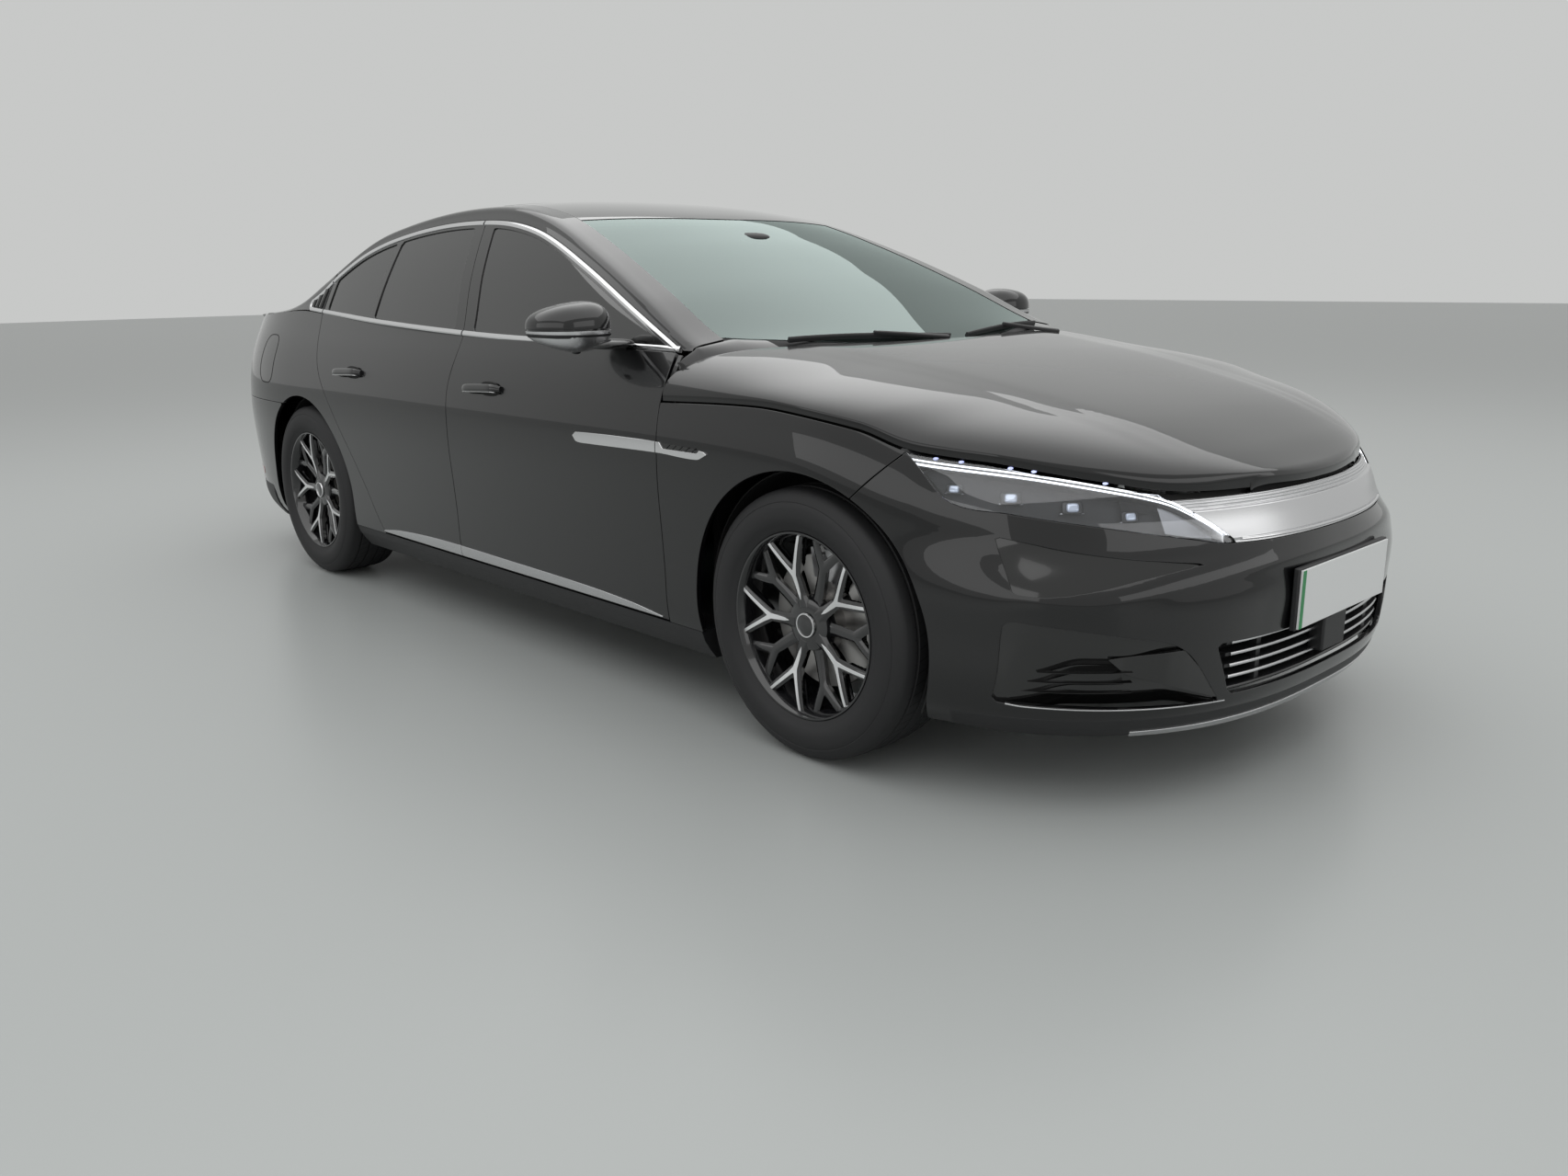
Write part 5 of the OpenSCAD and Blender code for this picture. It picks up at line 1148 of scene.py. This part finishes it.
a = np.linspace(20.6, 67.2, 120)
drl = drl_line(a)
for i, (shift, width) in enumerate(((5.6, 3.4), (-3.6, 5.6))):
    path, normal = end_points(nose_point, a, drl + shift, -7)
    strip(f"daylight_{i}", path, normal, width, 2.2, led_white, "body")
on_nose("daylight_shelf", a, drl - 8.5, drl - 11, -4, -30, gloss_black)
on_nose("daylight_bed", a, drl - 8.5, drl + 8.5, -9, -9, gloss_black)
a_up = np.linspace(22, 57, 60)
on_nose("upper_tray", a_up, drl_line(a_up) + 9, edge_z(nose_point(a_up, 780.0)[0]) - 3, -10, -16, gloss_black)
# Small blue spots that glow: painted glints in the lamp.
for i, at in enumerate((24.5, 28.5, 36.0, 39.5, 50.0)):
    p, n = end_points(nose_point, at, float(drl_line(at)) + 15, -9)
    for side in (1, -1):
        blob(f"blue_glint_spot_{i}_{'left' if side > 0 else 'right'}", p, (5, 7, 3), painted_blue_glint, "body", mirrored=side < 0, steps=10)

def facing(n):
    """Turns a local shape so that its x points along n and its z stays upright."""
    t = np.cross((0, 0, 1), n)
    t /= np.linalg.norm(t)
    return lambda p: p @ np.stack([n, t, np.cross(n, t)])

# The lenses' faint glow is a painted glint.
for i, (at, size) in enumerate(((27.0, 0.8), (35.5, 1.0), (44.5, 1.0), (53.0, 0.85))):
    low, high = float(curve(bumper_top, at)), float(drl_line(at)) - 10
    p, n = end_points(nose_point, at, mix(low, high, 0.52), -24)
    for side, word in ((1, "left"), (-1, "right")):
        m = side < 0
        blob(f"lamp_cell_{i}_{word}", p, np.array((7, 24, 15)) * size, gloss_black, "body", power=5, shape=facing(n), mirrored=m, steps=16)
        blob(f"lamp_lens_{i}_{word}", p + n * 6 * size, np.array((6, 14, 10)) * size, lens, "body", power=4, shape=facing(n), mirrored=m, steps=16)
        blob(f"lamp_wing_{i}_{word}", p + n * 2 + (0, 0, -13 * size), np.array((6, 30, 2.6)) * size, silver, "body", power=3, shape=facing(n), mirrored=m, steps=14)
a = np.linspace(57.5, 64.8, 20)
on_nose("lamp_inner_panel", a, curve(bumper_top, a) + 8, np.maximum(drl_line(a) - 12, curve(bumper_top, a) + 10), -14, -18, silver)
print("front done:", len(pieces_made), "pieces")

# %% [markdown]
# ## Side trim
# Bright strips round the windows with a louvre behind them, the blade on the wing, the low strip,
# handles and mirrors.

# %% Window strips and louvre
def window_path(x, z, out=1.0):
    return side_points(window_y, x, z, out)

def door_strips(name, x_low0, x_low1, x_top0, x_top1, bodies):
    x = np.linspace(x_low0, x_low1, 60)
    strip(f"{name}_waist_strip", *window_path(x, belt_z(x) + 4), 17, 4.5, chrome, bodies, sink=5)
    x = np.linspace(x_top0, x_top1, 110)
    strip(f"{name}_top_strip", *window_path(x, window_top_z(x) - 9), 18, 4.5, chrome, bodies, sink=4)

pillar_low = float(curve(pillar_rows, 1012))
pillar_top = float(curve(pillar_rows, 1382))
door_strips("front", pillar_low + gap, 986, pillar_top + gap, 976, doors["front"])
door_strips("rear", quarter_x + gap, pillar_low - gap - 3, quarter_x + gap, pillar_top - gap - 4, doors["rear"])
x_low, x_top = np.linspace(quarter_x - gap, -1462, 12), np.linspace(-1478, quarter_x - gap, 14)
tip = np.vstack([np.stack([x_low, belt_z(x_low) + 4], 1), [(-1473, 1081), (-1481, 1088), (-1484, 1098)],
                 np.stack([x_top, window_top_z(x_top) - 9], 1)])
tip = even(np.stack([tip[:, 0], 0 * tip[:, 0], tip[:, 1]], 1), 60)
strip("tip_strip", *window_path(tip[:, 0], tip[:, 2], 2.0), 17, 4.5, chrome, "body", sink=5)
louvre = window_sheet(-1474, quarter_x - gap, lambda x: belt_z(x) + 8, lambda x: window_top_z(x) - 12, step=8, rows=12, out=1.5)
pair("louvre_plate", louvre, satin_black, "body", depth=4, roll=0.5)
for i, x0 in enumerate((-1447.0, -1408.0, -1369.0)):
    top = min(float(window_top_z(x0 + 12)) - 22, 1200)
    z = np.linspace(float(belt_z(x0)) + 15, top, 16)
    strip(f"louvre_slat_{i}", *window_path(x0 + 12 * (z - z[0]) / 100, z, 2.5), 25, 7, gloss_black, "body", sink=3)

# %% Blade and low strip
blade_top = [(625, 752), (640, 761), (963, 767), (1104, 764), (1222, 757), (1233, 752)]
blade_low = [(625, 749), (640, 736), (700, 734), (1028, 739), (1195, 736), (1233, 751)]
side_blade = side_sheet(624, 1234, 730, 770, step=3.5).pushed(4.5).trim(
    lambda s: curve(blade_top, s.x) - s.z, lambda s: s.z - curve(blade_low, s.x))
vent = rounded(3, lambda s: s.z - 750.5, lambda s: s.x - 1036 - 0.9 * (767 - s.z), lambda s: 1196 + 1.1 * (s.z - 750) - s.x)
pair("blade_door", side_blade.copy().trim(aft(door_front_x, gap)), chrome, doors["front"], depth=6, roll=1.2)
pair("blade_wing", side_blade.copy().trim(fore(door_front_x, gap), outside(vent)), chrome, "body", depth=6, roll=1.0)
pair("blade_vent", side_blade.pushed(-2.5).trim(fore(door_front_x, gap), vent), gloss_black, "body", depth=4, roll=0.4)
for i in range(5):
    x = np.linspace(1066 + 27 * i, 1080 + 27 * i, 8)
    strip(f"blade_rib_{i}", *side_points(side_y, x, np.linspace(752.5, 762.5, 8), 2.6), 3.0, 1.6, satin_black, "body")
low_top = [(-745, 269), (-600, 287), (-291, 300), (200, 298), (625, 293), (850, 283), (990, 268)]
low_strip = side_sheet(-745, 990, 265, 302, step=9).pushed(3.0).trim(lambda s: curve(low_top, s.x) - s.z, above(sill_top, 4.5))
pair("low_strip_front", low_strip.copy().trim(ahead(pillar_rows), aft(door_front_x, gap + 6)), silver, doors["front"], depth=5, roll=1.2)
pair("low_strip_rear", low_strip.trim(behind(pillar_rows), ahead(rear_rows)), silver, doors["rear"], depth=5, roll=1.2)

# %% Handles
for word, x0, z0 in (("front", 95.0, 852.0), ("rear", -905.0, 855.0)):
    x = x0 + np.linspace(-112, 112, 40)
    t = (x - x0) / 112
    path, normal = side_points(side_y, x, z0 + 5 * t, 0)
    path = path + normal * (3 + 20 * (1 - t**8))[:, None]
    strip(f"{word}_handle", path, normal, 25, 6, paint, doors[word], sizes=0.72 + 0.28 * (1 - t**4), sink=5)
    path, normal = side_points(side_y, x[2:-2], z0 + 5 * t[2:-2] - 12, 0)
    strip(f"{word}_handle_edge", path + normal * (4 + 20 * (1 - t[2:-2] ** 8))[:, None], normal, 2.6, 3.0, chrome, doors[word], sink=3)
    # A dark flat blob in each finger pocket: painted shade for the recess.
    p, n = side_points(side_y, x0 + 42, z0 - 2, 0)
    for i, side in enumerate(("left", "right")):
        blob(f"{word}_handle_pocket_{side}", p, (62, 4.5, 29), black_trim_and_painted_shade, doors[word][i], power=2.5, mirrored=i == 1)

# %% Mirrors
mirror_x, mirror_out, mirror_z = 704.0, half_w + 42.0, 1062.0
def mirror_form(p):
    """Flat behind, lower and further back towards the tip."""
    p = p.copy()
    out = p[..., 1] / 110
    p[..., 2] = np.where(p[..., 2] > 0, p[..., 2] * (1 - 0.20 * out), p[..., 2] * (1 - 0.30 * np.maximum(out, 0)))
    p[..., 0] = np.maximum(p[..., 0] - 34 * np.maximum(out, 0) ** 2, -52 - 26 * np.maximum(out, 0))
    return p
def kept(low, high, grow=0.0):
    def shape(p):
        p = mirror_form(p * (1 + grow))
        p[..., 2] = np.clip(p[..., 2], low, high)
        return p
    return shape
for i, side in enumerate(("left", "right")):
    m, on, at = i == 1, doors["front"][i], (mirror_x, mirror_out, mirror_z)
    cap = blob(f"mirror_cap_{side}", at, (92, 110, 68), paint, on, shape=kept(-3, 90), mirrored=m, steps=26)
    blob(f"mirror_core_{side}", at, (88, 106, 66), gloss_black, on, shape=kept(-30, 10), mirrored=m, steps=20)
    blob(f"mirror_shell_{side}", at, (92, 110, 68), silver, on, shape=kept(-90, -8), mirrored=m, steps=26)
    blob(f"mirror_signal_{side}", at, (93, 111, 69), satin_black, on, shape=kept(-27, -18), mirrored=m, steps=20)
    blob(f"mirror_pane_{side}", (mirror_x - 58, mirror_out - 6, mirror_z + 2), (8, 84, 44), mirror_glass, on, power=3.6,
         mirrored=m, steps=20)
    blob(f"mirror_camera_{side}", (mirror_x + 6, mirror_out - 10, mirror_z - 66), (12, 12, 8), satin_black, on, mirrored=m, steps=14)
    blob(f"mirror_foot_{side}", (758, 905, 1014), (62, 66, 15), gloss_black, on, mirrored=m, steps=20)
    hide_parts(f"mirror_{side}")

# %% [markdown]
# ## Top, tail and underside

# %% Cowl, wipers and screen details
def cowl_surface(t, r):
    x0 = screen_base - 205 * r**2 + 1.5
    x1 = mix(bonnet_back, back_edge, r**2) + 30
    y = r * mix(0.87 * rail_y(x0) - 3, 770, t)
    z0 = top_z(x0, r * 0.87 * rail_y(x0)) - 4
    z1 = mix(crown_z(x1), edge_z(x1) + 30, np.abs(r) ** 3) - 34
    return mix(x0, x1, t), y, mix(z0, z1, ease(t))
cowl = Sheet(np.linspace(0, 1, 10), np.linspace(-1, 1, 81), cowl_surface, middle=(1100, 0, 500))
panel("cowl", cowl, satin_black, "body", depth=4, roll=0.4)
def foot_surface(t, y):
    """The painted corner between the windscreen pillar's foot and the bonnet."""
    share = y / (0.87 * rail_y(1022.0))
    x0 = np.maximum(screen_base - 205 * np.minimum(share, 1) ** 2, 1037.0) + 2
    z0 = np.where(y < rail_y(x0) - 2, top_z(x0, y) - 3, 1004 - 0.5 * np.maximum(y - rail_y(x0) + 2, 0))
    bx, by, bz = bonnet_point(0.0, y / side_y(back_edge, edge_z(back_edge) + rim))
    return mix(x0, np.maximum(bx - 3, x0 + 1), t), y + 0 * t, mix(z0, bz - 3, t**1.5)
foot = Sheet(np.linspace(0, 1, 8), span(610, 884, 8), foot_surface, middle=(1100, 300, 500))
pair("pillar_foot", foot, paint, "body", depth=4, roll=0.4)
pair("pillar_side", side_sheet(1023.6, 1040, 880, 994, step=5).pushed(-6), paint, "body", depth=4, roll=0.4)
def on_screen(x, y, out):
    x, y = np.asarray(x, float), np.asarray(y, float)
    n = np.stack([top_z(x - 2, y) - top_z(x + 2, y), top_z(x, y - 2) - top_z(x, y + 2), np.full_like(x, 4.0)], -1)
    n /= np.linalg.norm(n, axis=-1, keepdims=True)
    return np.stack([x, y, top_z(x, y)], -1) + n * out, n
for i, (y0, y1, x0, x1) in enumerate(((-560, 60, 1128, 1198), (140, 640, 1200, 1098))):
    p, n = on_screen(np.linspace(x0, x1, 30), np.linspace(y0, y1, 30), 7)
    points, faces = swept(p, n, crowned(9, 9, 7))
    link(f"wiper_blade_{i}", points, faces, satin_black, "body")
    p, n = on_screen(np.linspace((x0 + x1) / 2, 1222, 20), np.linspace((y0 + y1) / 2, y1 - 40, 20), 16)
    points, faces = swept(p, n, crowned(16, 7, 4), sizes=np.linspace(0.6, 1.2, 20))
    link(f"wiper_arm_{i}", points, faces, satin_black, "body")
def frit(x0, x1, y0, y1, name):
    """A black printed patch just under the windscreen."""
    def surface(x, y): return x, y, top_z(x, y) - 9
    sheet = Sheet(span(x0, x1, 12), span(y0, y1, 14), surface, middle=(200, 0, 600))
    panel(name, sheet, gloss_black, "body", depth=2, roll=0.2)
frit(236, 372, -150, 150, "screen_sensor_patch")
blob("screen_sensor_box", (330, 0, float(top_z(330, 0)) - 34), (84, 70, 22), satin_black, "body", steps=18)
seam = top_sheet(-330, -342, 40, 40, out=0.4, step=6)
panel("roof_seam", seam, black_trim_and_painted_shade, "body", depth=1, roll=0.1)

# %% Charging flap and tail
flap = even(np.array([(-1728 + 82 * np.sign(math.cos(t)) * abs(math.cos(t)) ** 0.62, 0,
                       875 + 98 * np.sign(math.sin(t)) * abs(math.sin(t)) ** 0.62) for t in np.linspace(0, 2 * math.pi, 97)]), 96)[:-1]
path, normal = side_points(side_y, flap[:, 0], flap[:, 2], -0.2)
points, faces = swept(path, normal, crowned(4.2, 1.2, 1.0), closed=True)
link("flap_seam_right", points, faces, black_trim_and_painted_shade, "body", mirrored=True)

def tail_sheet(a0, a1, z0, z1, out, step=10, rows=8):
    return Sheet(even_angles(tail_point, 875.0, a0, a1, step), np.linspace(z0, z1, rows), tail_point, middle=(-1500, 0, 700)).pushed(out)
band = tail_sheet(1, 179, lamp_low + 1, lamp_high - 1, -1.0, rows=10)
corner = band.copy().trim(lambda s: s.y - tail_half - gap - 1, aft(-2255))
corners = pair("tail_lamp", corner, tail_red, "body", depth=10, roll=1.2)
lid_band = band.pushed(3.5).trim(lambda s: tail_half - gap - 2 - np.abs(s.y))
panel("tail_band", lid_band, tail_red, "boot_lid", depth=5, roll=1.2)
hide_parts("tail_lamps")
glow = tail_sheet(1, 179, 872, 879, -0.2, rows=3)
pair("tail_line", glow.copy().trim(lambda s: s.y - tail_half - gap - 3, aft(-2262)), tail_glow, "body", depth=2, roll=0.4)
panel("tail_line_lid", glow.pushed(4.5).trim(lambda s: tail_half - gap - 5 - np.abs(s.y)), tail_glow, "boot_lid", depth=2, roll=0.4)
under = Sheet(even_angles(tail_point, 300.0, 14, 166, 20), span(sill_low + 6, 318, 17), tail_point, middle=(-1500, 0, 450))
under = under.pushed(4 * ease((312 - under.z) / 24)).shaped()
panel("rear_diffuser", under.trim(off_arch(axle_r, 14)), satin_black, "body", depth=8, roll=1.5)
for i, y in enumerate((-330.0, -165.0, 0.0, 165.0, 330.0)):
    slab(f"diffuser_fin_{i}", (-2428, y - 5, 204), (-2380, y + 5, 280), satin_black, "body", soft=2)
low_bright = tail_sheet(24, 156, 322, 331, 1.5, rows=3)
panel("tail_low_strip", low_bright, silver, "body", depth=3, roll=0.8)
reflector = tail_sheet(22, 40, 352, 380, 1.2, rows=4)
pair("tail_reflector", reflector, tail_red, "body", depth=3, roll=0.8)
slab("rear_plate_holder", (-2493.5, -246, 426), (-2478, 246, 574), satin_black, "body", soft=2)
slab("rear_plate_blank", (-2495.5, -240, 430), (-2492, 240, 570), plate_white, "body", soft=1)
slab("rear_plate_edge", (-2496.2, 224, 431), (-2495, 239, 569), plate_green, "body")

# %% Wheel housings, bays and the rest of the structure
for word, x0 in (("front", axle_f), ("rear", axle_r)):
    for side, s in (("left", 1), ("right", -1)):
        turned(f"{word}_liner_{side}", [(387, -330), (387, 62), (391, 62), (391, -330)], (x0, s * wheel_y, wheel_z),
               black_trim_and_painted_shade, "body", side=s, start=-22, stop=202, steps=60)
us3, rs3 = np.meshgrid(np.linspace(0.16, 0.93, 24), np.linspace(-0.80, 0.80, 41), indexing="ij")
bay = np.stack(bonnet_point(us3, rs3), -1) - (0, 0, 52)
panel("front_bay_cover", from_grid(bay, middle=(1700, 0, 300)), satin_black, "body", depth=4, roll=1)
def dress(finish, *nodes):
    for node in nodes:
        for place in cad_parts[node].material_slots:
            place.material = finish
dress(satin_black, "floor_pan", "sills", "battery_pack", "front_grille")
dress(iron, "front_subframe", "rear_subframe", "drive_unit")
dress(caliper_silver, "knuckle_left", "knuckle_right", "rear_knuckles")
dress(cabin_trim, "dashboard")
dress(leather_dark, "steering_wheel")

# %% [markdown]
# ## Cabin
# Seats are crowned cushions with piping and sewn channels. Doors have an inner panel as deep as the
# CAD door, and the roof a lining.

# %% Door inner panels and lining
for word, sheet, nodes in (("front", front_lower, ("front_door_left",)), ("rear", rear_lower, ("rear_door_left",))):
    low_d, high_d = box_mm(nodes[0])
    print(word, "door spans y", low_d[1].round(), "to", high_d[1].round())
    inner = sheet().trim(lambda s: s.z - sill_top - 14, lambda s: belt_z(s.x) - 6 - s.z)
    pair(f"{word}_door_core", inner.pushed(-25), satin_black, doors[word], depth=30, roll=0.2)
    rest = sheet().trim(lambda s: s.z - sill_top - 60, lambda s: belt_z(s.x) - 12 - s.z).pushed(-50)
    middle_x = float(rest.x.mean())
    swell = 12 * ease((rest.z - 560) / 60) * ease((720 - rest.z) / 60)
    rest.p[:, 1] -= swell
    pair(f"{word}_door_card", rest.shaped(), leather_dark, doors[word], depth=10, roll=2.0)
lining = top_sheet(screen_top_x - 30, rear_top_x + 30, 70, -70, out=-24, step=40)
panel("roof_lining", lining, leather, "body", depth=6, roll=1)
slab("parcel_shelf", (-1660, -560, 990), (-1085, 560, 1004), cabin_trim, "body", soft=4)

# %% Cushions
def cushion(name, place, size, pitch, cover, channels=(), pinch=0.035, body="body", n=27):
    """A crowned pad: size along, across and thick; pitch lifts its front."""
    along, across, thick = size
    u, v = np.meshgrid(np.sin(np.linspace(-math.pi / 2, math.pi / 2, n)), np.sin(np.linspace(-math.pi / 2, math.pi / 2, n)), indexing="ij")
    x = along / 2 * u * (1 - pinch * (1 - v**2))
    y = across / 2 * v * (1 - pinch * (1 - u**2))
    crown = ((1 - u**6) * (1 - v**6)) ** 0.45
    sewn = sum(6 * np.exp(-(((v - c) * across / 2) / 7) ** 2) for c in channels) + np.zeros_like(u)
    up = thick * 0.62 * crown - np.minimum(sewn, thick * 0.3) * crown
    down = -thick * 0.38 * crown**0.6
    down[0], down[-1], down[:, 0], down[:, -1] = 0, 0, 0, 0
    c, s = math.cos(math.radians(pitch)), math.sin(math.radians(pitch))
    def put(px, py, pz):
        return np.stack([px * c - pz * s, py + 0 * px, px * s + pz * c], -1) + place
    top, low = put(x, y, up), put(x, y, down)
    points = np.vstack([top.reshape(-1, 3), low.reshape(-1, 3)])
    m = n * n
    at = lambda i, j: i * n + j
    faces = [(at(i, j), at(i + 1, j), at(i + 1, j + 1), at(i, j + 1)) for i in range(n - 1) for j in range(n - 1)]
    border = [at(i, 0) for i in range(n)] + [at(n - 1, j) for j in range(1, n)] + [at(i, n - 1) for i in range(n - 2, -1, -1)] + [at(0, j) for j in range(n - 2, 0, -1)]
    place_of = {b + m: b for b in border}
    faces += [tuple(place_of.get(i + m, i + m) for i in f[::-1]) for f in faces]
    used = sorted({i for f in faces for i in f})
    new = {i: k for k, i in enumerate(used)}
    faces = [tuple(new[i] for i in f) for f in faces]
    pad = link(name, points[used], faces, cover, body, angle=75)
    ring = np.stack([points[b] for b in border])
    up_dir = np.broadcast_to(np.array([-s, 0, c]), ring.shape)
    p, f = swept(ring, up_dir, crowned(7, 3.5, 3), closed=True)
    link(f"{name}_piping", p, f, leather_dark, body)
    return pad

for side, y0 in (("left", 380.0), ("right", -380.0)):
    base = cushion(f"front_cushion_{side}", (215, y0, 520), (500, 360, 120), 6, leather, (-0.45, 0.0, 0.45))
    back = cushion(f"front_back_{side}", (-125, y0, 770), (560, 340, 110), 104, leather, (-0.45, 0.0, 0.45))
    cushion(f"front_headrest_{side}", (-208, y0, 1145), (160, 250, 90), 102, leather)
    for k, sgn in (("inner", -1), ("outer", 1)):
        cushion(f"front_bolster_{k}_{side}", (215, y0 + sgn * 215, 530), (480, 90, 130), 6, leather, n=20)
        cushion(f"front_wing_{k}_{side}", (-115, y0 + sgn * 200, 760), (500, 90, 130), 104, leather, n=20)
    slab(f"front_seat_base_{side}", (0, y0 - 220, 412), (420, y0 + 220, 470), cabin_trim, "body", soft=12)
    slab(f"front_seat_shell_{side}", (-240, y0 - 190, 560), (-190, y0 + 190, 900), cabin_trim, "body", soft=12)
    if side == "left":
        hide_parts("front_seats")
rear_pad = cushion("rear_cushion", (-790, 0, 520), (480, 1240, 130), 5, leather, (-0.66, -0.33, 0.33, 0.66), n=37)
cushion("rear_back", (-1000, 0, 790), (500, 1240, 110), 102, leather, (-0.66, -0.33, 0.33, 0.66), n=37)
slab("rear_seat_base", (-1040, -600, 408), (-580, 600, 470), cabin_trim, "body", soft=12)
for side, y0 in (("left", 400.0), ("middle", 0.0), ("right", -400.0)):
    cushion(f"rear_headrest_{side}", (-1050, y0, 1060), (110, 240, 80), 100, leather, n=22)
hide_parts("rear_seat")
slab("screen_pane", (634, -166, 858), (639, 166, 1040), roof_black, "body", soft=2)
print("all pieces:", len(pieces_made))

# %% [markdown]
# ## Room, light and view

# %% Stage
floor_mesh = bpy.data.meshes.new("floor")
floor_mesh.from_pydata([(-40, -40, 0), (40, -40, 0), (40, 40, 0), (-40, 40, 0)], [], [(0, 1, 2, 3)])
floor = bpy.data.objects.new("floor", floor_mesh)
bpy.context.scene.collection.objects.link(floor)
floor_mesh.materials.append(material("pale_floor", (0.36, 0.375, 0.37), 0.30))

def area_light(name, place, aim, size, power, color=(1, 1, 1)):
    light = bpy.data.lights.new(name, "AREA")
    light.shape, light.size, light.size_y, light.energy, light.color = "RECTANGLE", *size, power, color
    obj = bpy.data.objects.new(name, light)
    obj.location = place
    obj.rotation_euler = (Vector(aim) - Vector(place)).to_track_quat("-Z", "Y").to_euler()
    bpy.context.scene.collection.objects.link(obj)
    return obj

area_light("ceiling", (0.5, -0.5, 5.4), (0.5, -0.5, 0), (13.0, 15.0), 560)
area_light("side_wall", (0.5, -9.0, 2.6), (0, 0, 0.6), (14.0, 2.6), 90)
area_light("front_wall", (9.0, 1.0, 2.6), (0, 0, 0.6), (9.0, 2.6), 60)

world = bpy.data.worlds.new("room")
bpy.context.scene.world = world
world.use_nodes = True
world.node_tree.nodes["Background"].inputs["Color"].default_value = (0.80, 0.81, 0.80, 1)
world.node_tree.nodes["Background"].inputs["Strength"].default_value = 0.72

camera_data = bpy.data.cameras.new("camera")
camera = bpy.data.objects.new("camera", camera_data)
bpy.context.scene.collection.objects.link(camera)
bpy.context.scene.camera = camera
camera_place = (3.6703, -2.9658, 1.2105)
look = Vector((-0.70727, 0.66141, -0.24962))
camera_data.lens, camera_data.sensor_width = 28.15, 36.0
camera.matrix_world = Matrix.Translation(camera_place) @ look.to_track_quat("-Z", "Y").to_matrix().to_4x4() @ Matrix.Rotation(-0.01284, 4, "Z")
bpy.context.scene.view_settings.view_transform = "Standard"
